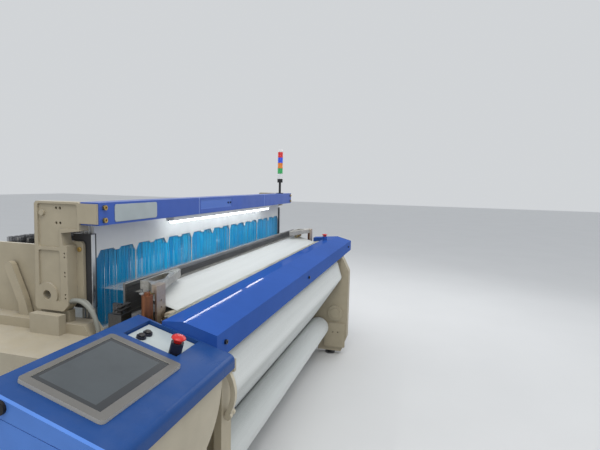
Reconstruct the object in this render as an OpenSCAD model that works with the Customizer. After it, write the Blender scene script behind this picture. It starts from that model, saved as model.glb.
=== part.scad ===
// Power loom. X runs to the weaver's right, Y to the back, Z up, in millimetres.
// Profiles are drawn as [depth behind the console's front edge, height above the floor].

/* [Overall] */
// Clear width between the side frames
inner_w = 2110; // [1900:10:2200]
// Depth from the console's front edge to the back of the warp beam
loom_d = 1700; // [1700:10:1900]
// Width of the control cabinet at the left end
cabinet_w = 555; // [545:5:700]

/* [Side frames] */
// Thickness of a side frame
frame_t = 75; // [70:5:110]
// Height of the side frame's rear top rail
frame_top = 860; // [850:5:870]
// Height of the side frame's front top
frame_front_top = 820; // [810:5:825]
// Height of a levelling foot
foot_h = 30; // [20:5:40]
// Depth of the pockets cast in the side frames
pocket = 30; // [10:5:35]

/* [Columns and top beam] */
// Thickness of a column casting
column_t = 44; // [44:2:60]
// Height of the top beam's upper face
beam_top = 1298; // [1280:1:1320]
// Height of the top beam's section
beam_h = 80; // [70:5:90]
// Depth of the top beam's section
beam_depth = 76; // [60:2:76]
// Wall of the top beam's section
beam_wall = 5; // [3:1:8]
// Length of the lamp under the top beam
lamp_l = 1260; // [800:10:1600]

/* [Heald frames] */
// Distance from one heald frame to the next
heald_pitch = 16; // [15:1:18]
// Thickness of a heald frame
heald_t = 12; // [8:1:13]
// Number of lobes along a heald frame's top rail
lobes = 18; // [10:1:24]
// Number of gaps between the healds of one frame
heald_gaps = 90; // [40:5:110]

/* [Sley and reed] */
// Height of the rocking shaft's centre
sley_axis_h = 560; // [540:5:580]
// Radius of the rocking shaft
sley_shaft_r = 36; // [28:1:40]
// Height of the reed's upper edge
reed_top = 1008; // [990:1:1020]
// Thickness of the reed
reed_t = 8; // [6:1:10]
// Number of gaps between the reed's dents
reed_gaps = 110; // [60:5:120]

/* [Cloth and rollers] */
// Width of the cloth and of the warp
cloth_w = 2036; // [1600:4:2040]
// Thickness of the cloth
cloth_t = 1.6; // [1:0.2:2]
// Radius of the take-up roller
takeup_r = 75; // [65:1:78]
// Radius of the press roller
press_r = 28; // [22:1:30]
// Radius of the front guide roller
guide_r = 34; // [26:1:36]
// Radius of the cloth wound on the cloth roll
roll_r = 80; // [50:1:120]
// Radius of the back roller
back_r = 45; // [35:1:55]

/* [Warp beam] */
// Radius of the warp beam's flanges
flange_r = 400; // [350:5:400]
// Radius of the yarn wound on the warp beam
yarn_r = 330; // [150:5:345]
// Radius of the warp beam's barrel
barrel_r = 75; // [60:1:90]

/* [Console and covers] */
// Tilt of the console's top
console_tilt = 15.4; // [12:0.2:16]
// Width of the operating panel
hmi_w = 317; // [260:1:330]
// Depth of the operating panel along the slope
hmi_d = 240; // [200:1:250]
// Thickness of the operating panel
hmi_t = 10; // [6:1:20]
// Thickness of the sheet metal covers
sheet_t = 3; // [2:0.5:4]
// Radius of the stop buttons' red heads
stop_r = 22; // [18:1:26]

/* [Drive] */
// Radius of the drive pulley
pulley_r = 170; // [140:5:175]
// Radius of the motor's pulley
motor_pulley_r = 70; // [50:5:75]
// Width of the drive belt
belt_w = 46; // [30:2:50]

/* [Hidden] */
$fn = 48;

// Running clearance of a journal in its bore, and of cloth on a roller
fit = 0.05;
gap = 0.3;
// Paint layer under a part that stands on the tilted console
seat = 0.02;
// Faces across the width
in_x = inner_w / 2;
out_x = in_x + frame_t;
column_in = out_x - column_t;
cabinet_x1 = -out_x - 15;
cabinet_x0 = cabinet_x1 - cabinet_w;
// Depth of the console and the cabinet, and the hinge of the cabinet's door
console_d = 350;
hinge = [cabinet_x0 - 4, console_d - 24];
hinge_r = 3.6;
hinge_pin_r = 1.6;
// Round plug on the end panel
plug_h = 8;
plug_c = [console_d - 64, 896];
end_x = -cabinet_x0 + plug_h;
cloth_x = min(cloth_w / 2, in_x - 22);
reed_x = in_x;
heald_x = in_x - 4;
journal_x = out_x - 10;
// Columns, behind the top beam
beam_d = 522;
beam_back = beam_d + beam_depth;
column_d = beam_back + 54;
column_back = column_d + 148;
column_low = frame_top + 43;
column_rib_h = 1128;
column_hole_c = [column_d + 94, 958];
// Contact bars of the drop wires, and the arm that carries them
bar_h = 1112;
bar_arm_c = [column_back + 157, bar_h - 72];
// Centres of the shafts, as [depth, height]
takeup_c = [215, 790];
press_c = takeup_c + (takeup_r + press_r + cloth_t + 2 * gap) * [cos(202), sin(202)];
guide_c = [92, 650];
roll_c = [231, 227];
lever_pin = [36, 780];
sley_c = [470, sley_axis_h];
warp_c = [loom_d - flange_r, 430];
rear_girder_d = warp_c[0] - flange_r - 60;
lever_c = [warp_c[0] + 90, 905];
back_c = [warp_c[0] + 180, 980];
pulley_c = [700, 520];
motor_c = [1000, 380];
// Journal radii
takeup_j = 20;
press_j = 12;
guide_j = 14;
roll_j = 18;
warp_j = 30;
lever_j = 16;
back_j = 16;
pulley_j = 25;
motor_j = 20;
// Cloth line
fell = [442, 963];
nose_c = [291, 914];
nose_r = 3;
// Front cover
cover_d = 62;
cover_low = 807;
cover_edge = 891;
crease = [184, 924];
cover_back = [262, 918];
cover_x1 = out_x + 250;
// Console
console_front = [10, 838];
console_low = 795;
cabinet_low = 100;
// Curved right side of the cabinet below the console
knee_r = 190;
knee_c = [cabinet_x1 - 70 - knee_r, console_low - 5];
knee_x = knee_c[0] + knee_r / 2;
// Stop buttons
stop_stem_r = 12;
right_stop = [out_x + 20, 232];
right_stop_z = crease[1] + 4;
// Heald frames
heald_low = 745;
heald_low_rail = 55;
rail_low = 1114;
rail_top = 1210;
tooth_h = 9;
deep_tooth_h = 26;
stay_w = 12;
guide_h = [905, 1180];
heald_d = beam_back + 8;
// Top beam
beam_x = out_x - 8;
beam_low = beam_top - beam_h;
relief = 1.5;

function polar(c, r, a) = c + r * [cos(a), sin(a)];
function arc(c, r, a0, a1, n = 16, skip = 0) =
    [for (i = [skip:n]) polar(c, r, a0 + (a1 - a0) * i / n)];
function heading(p, q) = atan2(q[1] - p[1], q[0] - p[0]);
// Angle of the touching points of a line laid along one side of two circles
function outer_touch(c1, r1, c2, r2, side) =
    heading(c1, c2) + side * acos((r1 - r2) / norm(c2 - c1));
// Angle on the first circle of a line that crosses from one side to the other
function cross_touch(c1, r1, c2, r2, side) =
    heading(c1, c2) + side * acos((r1 + r2) / norm(c2 - c1));
function along(p, i) = p[min(i + 1, len(p) - 1)] - p[max(i - 1, 0)];
function shifted(p, h) = [for (i = [0:len(p) - 1])
    let (v = along(p, i)) p[i] + h * [-v[1], v[0]] / norm(v)];
function backwards(p) = [for (i = [len(p) - 1:-1:0]) p[i]];

// Puts a shape drawn from the console's front edge into the loom's own frame
module place() {
    translate([0, -loom_d / 2, 0]) children();
}

// Extrudes a [depth, height] profile from x0 to x1
module span(x0, x1) {
    translate([x0, 0, 0]) rotate([90, 0, 90]) linear_extrude(x1 - x0) children();
}

// Box between two corners on each axis
module slab(x, d, z) {
    translate([x[0], d[0], z[0]]) cube([x[1] - x[0], d[1] - d[0], z[1] - z[0]]);
}

module rect(d, z) {
    translate([d[0], z[0]]) square([d[1] - d[0], z[1] - z[0]]);
}

// Rectangle with round corners, from true arcs
module round_rect(d, z, r) {
    rect([d[0] + r, d[1] - r], z);
    rect(d, [z[0] + r, z[1] - r]);
    for (p = [d[0] + r, d[1] - r], q = [z[0] + r, z[1] - r]) translate([p, q]) circle(r);
}

// Round bar along X with its centre at c
module rod(x0, x1, c, r) {
    translate([x0, c[0], c[1]]) rotate([0, 90, 0]) cylinder(h = x1 - x0, r = r);
}

module dot(c, r) {
    translate(c) circle(r);
}

// Repeats a shape at both ends of the loom
module both_ends() {
    children();
    mirror([1, 0, 0]) children();
}

// Side frames

module frame_outline() {
    polygon([[52, foot_h], [240, foot_h], [240, 90], [300, 150], [1040, 150], [1100, 90],
        [1100, foot_h], [warp_c[0] + 150, foot_h], [warp_c[0] + 150, 300],
        [lever_c[0] + 45, frame_top - 60], [lever_c[0] + 45, lever_c[1]],
        [lever_c[0] + 25, lever_c[1] + 40], [lever_c[0] - 25, lever_c[1] + 40],
        [lever_c[0] - 60, frame_top], [590, frame_top], [560, frame_front_top],
        [80, frame_front_top], [52, 780]]);
}

// Arm behind the column that carries the contact bars
module bar_arm() {
    c = bar_arm_c;
    polygon([[c[0] - 91, frame_top], c + [-75, -120], c + [-19, 6], c + [19, -8], c + [-39, -135],
        [c[0] - 43, frame_top]]);
    dot(c, 20);
}

module frame_windows() {
    round_rect([290, 590], [210, 470], 40);
    round_rect([780, 1060], [210, 520], 40);
}

module frame_pockets() {
    round_rect([90, 200], [110, 330], 20);
    round_rect([80, 180], [420, 590], 16);
    round_rect([290, 400], [540, 700], 16);
    round_rect([560, 640], [600, 800], 16);
    round_rect([900, 1120], [600, 800], 24);
    round_rect([660, 760], [660, 800], 16);
    round_rect([warp_c[0] - 140, warp_c[0] + 100], [110, 300], 24);
    round_rect([warp_c[0] - 140, warp_c[0] + 70], [560, 800], 24);
}

module frame_bores() {
    dot(takeup_c, takeup_j + fit);
    dot(press_c, press_j + fit);
    dot(guide_c, guide_j + fit);
    dot(roll_c, roll_j + fit);
    dot(sley_c, sley_shaft_r + fit);
    dot(warp_c, warp_j + fit);
    dot(lever_c, lever_j + fit);
}

module side_frame() {
    difference() {
        span(in_x, out_x) difference() {
            frame_outline();
            frame_windows();
        }
        span(out_x - pocket, out_x + 1) frame_pockets();
        span(in_x - 1, out_x + 1) frame_bores();
    }
    span(in_x + 22, in_x + 44) bar_arm();
    span(in_x, in_x + 16) rect([column_back + 35, column_back + 300], [frame_top, bar_h + 16]);
}

module frame_left() {
    color("wheat") place() {
        difference() {
            mirror([1, 0, 0]) side_frame();
            span(-out_x - 1, -in_x + 1) dot(pulley_c, pulley_j + fit);
        }
        // Bracket and pin of the roll lever
        slab([-out_x + 30, -out_x + 45], [22, 52], [760, 800]);
        rod(-out_x + 10, -out_x + 30, lever_pin, 8);
    }
}

// Front leg of the right frame, with a round and a square gear cover on its inner face
module front_leg() {
    span(in_x, out_x) polygon([[52, foot_h], [30, 90], [8, 150], [8, 690], [52, 780]]);
    rod(in_x - 12, in_x, [104, 345], 62);
    rod(in_x - 18, in_x - 12, [104, 345], 40);
    difference() {
        span(in_x - 14, in_x) round_rect([20, 190], [66, 262], 10);
        for (d = [76, 118]) rod(in_x - 15, in_x - 4, [d, 190], 6);
    }
}

module frame_right() {
    color("wheat") place() {
        side_frame();
        front_leg();
    }
}

module front_girder() {
    span(-in_x, in_x) difference() {
        polygon([[297, 730], [360, 730], [360, frame_front_top - 38],
            [318, frame_front_top - 2], [310, 914],
            [nose_c[0] + nose_r, nose_c[1] + 3], [nose_c[0], nose_c[1] + nose_r],
            [nose_c[0] - nose_r, nose_c[1]], [nose_c[0], 895], [297, 850]]);
        rect([305, 352], [740, frame_front_top - 46]);
    }
}

module cross_girders() {
    color("wheat") place() {
        front_girder();
        span(-in_x, in_x) difference() {
            rect([rear_girder_d, rear_girder_d + 60], [570, 650]);
            rect([rear_girder_d + 8, rear_girder_d + 52], [578, 642]);
        }
        rod(-in_x, in_x, [250, 440], 24);
        span(-in_x, in_x) rect([620, 700], [150, 200]);
    }
}

module levelling_foot(x, d, h, r) {
    translate([x, d, 0]) {
        cylinder(h = 12, r = r);
        cylinder(h = h, r = r * 0.45);
    }
}

module levelling_feet() {
    color("dimgray") place() {
        both_ends() for (d = [146, warp_c[0]]) levelling_foot(in_x + frame_t / 2, d, foot_h, 40);
        for (x = [cabinet_x0 + 60, knee_x - 60], d = [60, console_d - 60])
            levelling_foot(x, d, cabinet_low, 24);
    }
}

// Columns that carry the top beam and the heald guides

module column_outline() {
    polygon([[column_d + 22, column_low], [column_d, column_low + 24], [column_d, beam_low - 78],
        [column_d + 17, beam_low - 75], [column_d + 24, beam_low - 32], [beam_back, beam_low - 22],
        [beam_back, beam_top - 6], [beam_back + 6, beam_top - 1], [column_back - 16, beam_top - 1],
        [column_back - 8, beam_top - 10], [column_back - 4, beam_low - 168],
        [column_back, column_low + 12], [column_back - 8, column_low]]);
}

module column_recesses() {
    round_rect([beam_back + 9, column_back - 22], [beam_low - 16, beam_top - 9], 8);
    round_rect([column_d + 33, column_back - 22], [column_rib_h + 6, beam_top - 9], 8);
    difference() {
        round_rect([column_d + 33, column_back - 22], [column_hole_c[1] - 20, column_rib_h - 6], 8);
        dot(column_hole_c, 46);
    }
}

module column_holes() {
    dot(column_hole_c, 17);
    for (d = [column_d + 32, column_d + 49], z = [beam_top - 24, beam_low + 3]) dot([d, z], 5);
    for (z = [1107, 1038, 958], k = [-7, 7]) dot([column_d + 12, z + k], 3);
}

module column() {
    difference() {
        span(column_in, out_x) column_outline();
        span(out_x - 6, out_x + 1) column_recesses();
        span(column_in - 1, out_x + 1) column_holes();
    }
    // Neck that stands on the side frame
    span(column_in, column_in + 26) rect([column_d + 12, column_back - 12], [frame_top, column_low]);
    rod(out_x - 6, out_x + 2, [column_back - 40, beam_top - 42], 11);
    // Lug over the top beam's end
    span(out_x - 8, out_x) rect([beam_d + 2, beam_back + 4], [beam_low + 5, beam_top - 5]);
    // Plate for the heald guides
    translate([0, column_d, 0]) span(column_in - 12, column_in) polygon([[-2, 935], [70, 935],
        [70, 1100], [48, 1153], [-20, 1153], [-29, 1143], [-29, 935]]);
}

module column_left() {
    color("wheat") place() mirror([1, 0, 0]) column();
}

module column_right() {
    color("wheat") place() column();
}

module heald_guides() {
    rib = heald_pitch - heald_t - 1;
    color("dimgray") place() both_ends() {
        slab([in_x, column_in - 12], [heald_d - 6, heald_d + 4 * heald_pitch + 6], guide_h);
        for (i = [0:4]) translate([0, heald_d + i * heald_pitch - rib - 0.5, 0])
            slab([heald_x - 8, in_x], [0, rib], guide_h);
    }
}

// Top beam with its lamp, plate and signal tower

module top_beam() {
    color("royalblue") place() difference() {
        span(-beam_x, beam_x) difference() {
            rect([beam_d, beam_back], [beam_low, beam_top]);
            rect([beam_d + beam_wall, beam_back - beam_wall],
                [beam_low + beam_wall, beam_top - beam_wall]);
        }
        for (x = [-423, 494])
            slab([x, x + 2], [beam_d - 1, beam_d + relief], [beam_low - 1, beam_top + 1]);
        slab([-405, -40], [beam_d - 1, beam_d + relief], [beam_top - 56, beam_top - 12]);
    }
}

module name_plate() {
    color("lightgray") place() translate([0, beam_d - 1.5, 0]) rotate([90, 0, 0])
        mirror([0, 0, 1]) linear_extrude(1.5)
            round_rect([-beam_x + 80, -beam_x + 340], [beam_low + 8, beam_top - 8], 10);
}

// Socket head screw pointing back, with its seat at depth d
module screw(x, d, z, r) {
    translate([x, d, z]) rotate([90, 0, 0]) difference() {
        cylinder(h = r, r = r);
        translate([0, 0, r * 0.4]) cylinder(h = r, r = r * 0.5, $fn = 6);
    }
}

// Screw on a face that looks to the right
module side_screw(x, d, z, r) {
    translate([x, d, z]) rotate([0, 90, 0]) difference() {
        cylinder(h = r * 0.6, r = r);
        translate([0, 0, r * 0.3]) cylinder(h = r, r = r * 0.5, $fn = 6);
    }
}

module cover_bolts() {
    color("goldenrod") place() {
        for (x = [-beam_x + 26, beam_x - 26], z = [beam_low + 18, beam_top - 18])
            screw(x, beam_d, z, 9);
        for (x = [-90, -60]) screw(x, beam_d + relief, beam_top - 34, 5);
        for (x = [cabinet_x1 + 60, 0, cover_x1 - 60]) screw(x, cover_d, 852, 8);
        for (d = [460, 760, 1090, 1140]) side_screw(side_x, d, 815, 8);
    }
}

// Front and back of the lamp's housing
lamp_d = [beam_d + 8, beam_d + 46];

module lamp_housing() {
    color("gainsboro") place() span(-lamp_l / 2 - 10, lamp_l / 2 + 10)
        polygon([[lamp_d[0], beam_low - 16], [lamp_d[0] + 6, beam_low - 20],
            [lamp_d[1] - 6, beam_low - 20], [lamp_d[1], beam_low - 16], [lamp_d[1], beam_low],
            [lamp_d[0], beam_low]]);
}

module lamp_tube() {
    color("white") place() span(-lamp_l / 2, lamp_l / 2) difference() {
        dot([(lamp_d[0] + lamp_d[1]) / 2, beam_low - 20], 11);
        rect([lamp_d[0], lamp_d[1] + 2], [beam_low - 20, beam_low]);
    }
}

tower_at = [beam_x - 182, beam_d + 38];
tower_z = beam_top + 115;

module tower_base() {
    color("black") place() translate([tower_at[0], tower_at[1], beam_top]) {
        cylinder(h = 5, r = 28);
        cylinder(h = 90, r = 9);
        translate([0, 0, 86]) cylinder(h = 29, r = 21);
    }
}

module tower_lenses() {
    place() translate([tower_at[0], tower_at[1], tower_z]) {
        color("white") cylinder(h = 41, r = 20);
        for (i = [0:3]) color(["green", "orange", "blue", "red"][i])
            translate([0, 0, 42 * (i + 1)]) cylinder(h = 41, r = 20);
        color("white") for (i = [1:4]) translate([0, 0, 42 * i - 1]) cylinder(h = 1, r = 21);
        color("white") translate([0, 0, 209]) {
            cylinder(h = 12, r = 20);
            translate([0, 0, 12]) cylinder(h = 8, r1 = 20, r2 = 13);
        }
    }
}

// Heald frames: a castellated upper rail, a lower rail, side stays and the healds

module tooth(x, w, h) {
    translate([x, rail_low]) polygon([[-w * 0.2, 1], [-w * 0.2, 0], [-w * 0.06, -h], [w * 0.06, -h],
        [w * 0.2, 0], [w * 0.2, 1]]);
}

module heald_wall() {
    w = 2 * (heald_x - stay_w);
    p = w / heald_gaps;
    low = heald_low + heald_low_rail;
    difference() {
        rect([-w / 2, w / 2], [low, rail_low]);
        for (i = [0:heald_gaps - 1]) translate([-w / 2 + (i + 0.5) * p, 0])
            rect([-p * 0.3, p * 0.3], [low + 8, rail_low - 6]);
    }
}

module heald_frame(i) {
    d = heald_d + (i - 1) * heald_pitch;
    lobe_w = 2 * (heald_x - stay_w) / lobes;
    translate([0, d + heald_t, 0]) rotate([90, 0, 0]) {
        linear_extrude(heald_t) {
            rect([-heald_x, heald_x], [rail_low, rail_top]);
            rect([-heald_x, heald_x], [heald_low, heald_low + heald_low_rail]);
            for (s = [-1, 1]) translate([s * (heald_x - stay_w / 2), 0])
                rect([-stay_w / 2, stay_w / 2], [heald_low, rail_top]);
        }
        translate([0, 0, heald_t - 3]) linear_extrude(3) for (k = [1:lobes - 1])
            tooth((k - lobes / 2) * lobe_w, lobe_w, k % 2 == 0 ? deep_tooth_h : tooth_h);
        translate([0, 0, heald_t / 2 - 1.5]) linear_extrude(3) heald_wall();
    }
}

module heald_frame_1() {
    color("azure") place() heald_frame(1);
}

module heald_frame_2() {
    color("azure") place() heald_frame(2);
}

module heald_frame_3() {
    color("azure") place() heald_frame(3);
}

module heald_frame_4() {
    color("azure") place() heald_frame(4);
}

// Sley: rocking shaft, swords and the beam that holds the reed

reed_d = sley_c[0] + 2;
sley_beam_low = frame_front_top + 18;
sley_beam_top = sley_beam_low + 50;

module sword() {
    polygon([[430, sley_axis_h], [438, sley_beam_low + 4], [506, sley_beam_low + 4],
        [510, sley_axis_h]]);
    dot(sley_c, sley_shaft_r + 22);
}

module sley() {
    color("silver") place() {
        rod(-journal_x, journal_x, sley_c, sley_shaft_r);
        for (k = [-2:2]) span(k * in_x * 0.44 - 14, k * in_x * 0.44 + 14) difference() {
            sword();
            round_rect([448, 492], [sley_axis_h + 90, sley_beam_low - 40], 12);
        }
        span(-reed_x, reed_x) difference() {
            polygon([[432, sley_beam_low + 10], [442, sley_beam_low], [500, sley_beam_low],
                [510, sley_beam_low + 10], [510, sley_beam_top - 20],
                [reed_d + reed_t + 8, sley_beam_top], [reed_d - 8, sley_beam_top],
                [432, sley_beam_top - 16]]);
            rect([reed_d, reed_d + reed_t], [sley_beam_low + 20, sley_beam_top + 1]);
        }
    }
}

module reed() {
    p = 2 * (reed_x - 10) / reed_gaps;
    color("slategray") place() translate([0, reed_d + reed_t, 0]) rotate([90, 0, 0])
        linear_extrude(reed_t) difference() {
            rect([-reed_x, reed_x], [sley_beam_low + 20, reed_top]);
            for (i = [0:reed_gaps - 1]) translate([-reed_x + 10 + (i + 0.5) * p, 0])
                rect([-p * 0.28, p * 0.28], [sley_beam_top + 10, reed_top - 14]);
        }
}

module main_nozzle() {
    color("dimgray") place() {
        slab([-reed_x - 56, -reed_x], [446, 500], [sley_beam_low + 6, sley_beam_top + 20]);
        for (k = [0:3]) {
            c = [456 + 10 * (k % 2), sley_beam_top + 34 + 13 * floor(k / 2)];
            rod(-reed_x - 70, -reed_x + 6, c, 4);
            rod(-reed_x - 60, -reed_x - 30, c, 7);
        }
        slab([-reed_x - 50, -reed_x - 38], [452, 486], [sley_beam_top + 20, sley_beam_top + 58]);
    }
}

// Temples that hold the cloth's edges out

temple_d = 408;
cloth_slope = (fell[1] - nose_c[1] - nose_r) / (fell[0] - nose_c[0]);
temple_z = nose_c[1] + nose_r + (temple_d - nose_c[0]) * cloth_slope + cloth_t * 1.1 + gap + 14.6;

module temple() {
    x0 = cloth_x - 240;
    x1 = cloth_x + 12;
    // Bracket plate on the side frame
    difference() {
        slab([x1, x1 + 54], [322, 330], [frame_front_top + 12, 1016]);
        for (z = [960, 935, 890]) translate([x1 + 27, 321, z]) rotate([-90, 0, 0])
            cylinder(h = 12, r = 4);
    }
    slab([x1 + 12, x1 + 84], [322, 372], [frame_front_top, frame_front_top + 12]);
    // Housing over the ring roller
    difference() {
        translate([0, 0, temple_z + 17]) linear_extrude(30)
            polygon([[x1 + 40, 330], [x1 + 40, 352], [x1, 392], [x1, temple_d + 18],
                [x0 + 30, temple_d + 24], [x0, temple_d + 14], [x0 + 18, temple_d - 6],
                [x1 - 60, 352], [x1 - 8, 330]]);
        translate([0, 0, temple_z + 24]) linear_extrude(40) polygon([[x1 - 14, 372],
            [x1 - 14, temple_d + 8], [x0 + 110, temple_d + 12], [x0 + 92, temple_d],
            [x1 - 60, 366]]);
        for (p = [[x0 + 36, temple_d + 8], [x0 + 70, temple_d + 6]])
            translate([p[0], p[1], temple_z]) cylinder(h = 60, r = 6);
    }
    for (x = [x1 - 12, x1 - 128]) difference() {
        union() {
            rod(x, x + 8, [temple_d, temple_z], 9);
            slab([x, x + 8], [temple_d - 9, temple_d + 9], [temple_z, temple_z + 17]);
        }
        rod(x - 1, x + 9, [temple_d, temple_z], 4 + fit);
    }
    // Cutter solenoid beside the bracket
    translate([x1 + 74, 346, frame_front_top + 12]) {
        cylinder(h = 156, r = 19);
        translate([0, 0, 156]) cylinder(h = 10, r = 10);
    }
}

module temple_left() {
    color("silver") place() mirror([1, 0, 0]) temple();
}

module temple_right() {
    color("silver") place() temple();
}

module temple_ring() {
    x1 = cloth_x - 0.5;
    difference() {
        rod(x1 - 107, x1 - 1, [temple_d, temple_z], 14);
        for (k = [0:8]) difference() {
            rod(x1 - 98 + 11 * k, x1 - 95 + 11 * k, [temple_d, temple_z], 15);
            rod(x1 - 99 + 11 * k, x1 - 94 + 11 * k, [temple_d, temple_z], 11);
        }
    }
    rod(x1 - 115, x1 + 7, [temple_d, temple_z], 4);
}

module temple_ring_left() {
    color("gold") place() mirror([1, 0, 0]) temple_ring();
}

module temple_ring_right() {
    color("gold") place() temple_ring();
}

// Cloth path: rail, rollers, cloth and cloth roll

module cloth_rail() {
    color("lemonchiffon") place() span(-in_x - 40, in_x + 40) difference() {
        rect([cover_back[0], 285], [884, 916]);
        rect([268, 271], [906, 917]);
        rect([276, 279], [906, 917]);
        rect([cover_back[0] - 1, 280], [890, 898]);
    }
}

module roller(c, r, journal) {
    rod(-cloth_x + 6, cloth_x - 6, c, r);
    rod(-journal_x, journal_x, c, journal);
    both_ends() rod(cloth_x - 6, cloth_x + 6, c, (r + journal) / 2);
}

module take_up_roller() {
    color("darkolivegreen") place() roller(takeup_c, takeup_r, takeup_j);
}

module press_roller() {
    color("dimgray") place() roller(press_c, press_r, press_j);
}

module guide_roller() {
    color("dimgray") place() roller(guide_c, guide_r, guide_j);
}

layer = gap + cloth_t / 2;
nip = heading(takeup_c, press_c);
press_leave = outer_touch(press_c, press_r + layer, guide_c, guide_r + layer, -1) + 360;
guide_leave = cross_touch(guide_c, guide_r + layer, roll_c, roll_r + layer, -1) + 360;
nose_leave = cross_touch(nose_c, nose_r + layer, takeup_c, takeup_r + layer, -1) + 360;
nose_meet = heading(nose_c, fell) + 90;

module cloth() {
    line = concat([fell], arc(nose_c, nose_r + layer, nose_meet, nose_leave, 5),
        arc(takeup_c, takeup_r + layer, nose_leave - 180, nip, 18),
        arc(press_c, press_r + layer, nip + 180, press_leave, 10, 1),
        arc(guide_c, guide_r + layer, press_leave, guide_leave, 5),
        [polar(roll_c, roll_r + layer, guide_leave - 180)]);
    color("whitesmoke") place() span(-cloth_x, cloth_x)
        polygon(concat(shifted(line, cloth_t / 2), backwards(shifted(line, -cloth_t / 2))));
}

module cloth_roll() {
    color("whitesmoke") place() difference() {
        rod(-cloth_x, cloth_x, roll_c, roll_r);
        rod(-cloth_x - 1, cloth_x + 1, roll_c, 32);
    }
}

module roll_shaft() {
    color("silver") place() {
        rod(-cloth_x, cloth_x, roll_c, 32);
        rod(-journal_x, journal_x, roll_c, roll_j);
        both_ends() rod(cloth_x, cloth_x + 10, roll_c, 42);
    }
}

module roll_lever() {
    bow = [150, 690];
    knob = [36, 612];
    x1 = -out_x + 28;
    color("ivory") place() {
        difference() {
            span(x1 - 16, x1) {
                polygon(concat([[22, 786]], arc(bow, 140, 143, 214, 8), arc(bow, 124, 214, 143, 8),
                    [[50, 774]]));
                dot(lever_pin, 15);
                dot(knob, 12);
            }
            rod(x1 - 17, x1 + 1, lever_pin, 8 + fit);
        }
        rod(x1, x1 + 22, knob, 6);
        translate([x1 + 22, knob[0], knob[1]]) sphere(11);
    }
}

// Covers, console and control cabinet

module cover_diaphragm() {
    polygon([[84, frame_front_top], [84, cover_edge - 4], crease - [2, sheet_t + 1],
        [250, 914], [250, frame_front_top]]);
}

module front_cover() {
    x0 = cabinet_x1;
    color("royalblue") place() {
        difference() {
            span(x0, cover_x1) polygon([[cover_d, cover_low], [cover_d, cover_edge], crease,
                cover_back, [cover_back[0], 884]]);
            span(x0 + sheet_t, cover_x1 - sheet_t) polygon([[cover_d + sheet_t, cover_low - 20],
                [cover_d + sheet_t, cover_edge - sheet_t * 0.7], crease - [0, sheet_t],
                cover_back - [sheet_t, sheet_t], [cover_back[0] - sheet_t, 800]]);
        }
        for (s = [-1, 1]) span(s * (in_x + 45) - 3, s * (in_x + 45) + 3) difference() {
            cover_diaphragm();
            dot([170, 868], 20);
        }
        translate([right_stop[0], right_stop[1], crease[1] - 10])
            stop_base(right_stop_z + stop_sink - crease[1] + 10, 4);
    }
}

// Puts a shape on the console's sloping top: x, distance up the slope, height above it
module on_console() {
    translate([0, console_front[0], console_front[1]]) rotate([console_tilt, 0, 0]) children();
}

function console_z(d) = console_front[1] + (d - console_front[0]) * tan(console_tilt);
tray_x0 = cabinet_x1 - 140;
tray_x1 = cabinet_x1 - 8;
tray_s0 = 117;
tray_s1 = 304;
tray_deep = 14;
hmi_x1 = cabinet_x1 - 179;
hmi_x0 = hmi_x1 - hmi_w;
hmi_s0 = 75;

module console_top() {
    color("royalblue") place() {
        difference() {
            span(cabinet_x0 + 10, cabinet_x1) console_outline();
            span(cabinet_x0 + 9, cabinet_x1 - sheet_t)
                polygon([[sheet_t, console_low - 1], [sheet_t, console_z(0) - 14],
                    [18, console_z(18) - sheet_t * 1.3],
                    [console_d - sheet_t, console_z(console_d) - sheet_t * 2],
                    [console_d - sheet_t, console_low - 1]]);
            on_console() slab([tray_x0, tray_x1], [tray_s0, tray_s1], [-20, 10]);
        }
        on_console() difference() {
            slab([tray_x0 - 2, tray_x1 + 2], [tray_s0 - 2, tray_s1 + 2], [-tray_deep - 3, -2.5]);
            slab([tray_x0, tray_x1], [tray_s0, tray_s1], [-tray_deep, 10]);
        }
    }
}

// Console section, with its front edge rounded
module console_outline() {
    r = 22;
    polygon(concat([[0, console_low]],
        arc([r, console_z(r) - r / cos(console_tilt)], r, 180, 90 + console_tilt, 6),
        [[console_d, console_z(console_d)], [console_d, console_low]]));
}

// Front view of the cabinet's shell, [x, height], drawn smaller by s
module cabinet_face(s) {
    polygon(concat([[cabinet_x0 + 10, cabinet_low + s], [knee_x - s, cabinet_low + s]],
        arc(knee_c, knee_r - s, -60, 0, 8),
        [[knee_c[0] + knee_r - s, console_low + s / 3], [cabinet_x0 + 10, console_low + s / 3]]));
}

module cabinet_body() {
    color("wheat") place() difference() {
        translate([0, console_d, 0]) rotate([90, 0, 0]) linear_extrude(console_d - 10)
            cabinet_face(0);
        translate([-1, console_d - sheet_t, 0]) rotate([90, 0, 0])
            linear_extrude(console_d - 10 - 2 * sheet_t) cabinet_face(sheet_t);
    }
}

module door_outline(s) {
    back = console_d - 30;
    polygon([[70 - s, cabinet_low + 40 - s], [70 - s, 812 + s], [back + s, 876 + s],
        [back + s, cabinet_low + 40 - s]]);
}

module end_face() {
    console_outline();
    rect([10, console_d], [cabinet_low, console_low]);
}

module end_panel() {
    color("cornflowerblue") place() {
        span(cabinet_x0 + 4, cabinet_x0 + 10) difference() {
            end_face();
            door_outline(-10);
        }
        span(cabinet_x0, cabinet_x0 + 4) difference() {
            end_face();
            door_outline(2);
        }
        rod(cabinet_x0 - plug_h, cabinet_x0, plug_c, 16);
        for (z = hinges) {
            knuckle(z - 16, 62, hinge_pin_r);
            for (k = [z - 16, z + 30 + gap]) {
                knuckle(k, 16 - gap, hinge_r);
                slab([cabinet_x0 - 2.5, cabinet_x0], [hinge[1], hinge[1] + 18], [k, k + 16 - gap]);
            }
        }
    }
}

// Heights of the door's hinges
hinges = [220, 620];

module knuckle(z, h, r) {
    translate([hinge[0], hinge[1], z]) cylinder(h = h, r = r);
}

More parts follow.
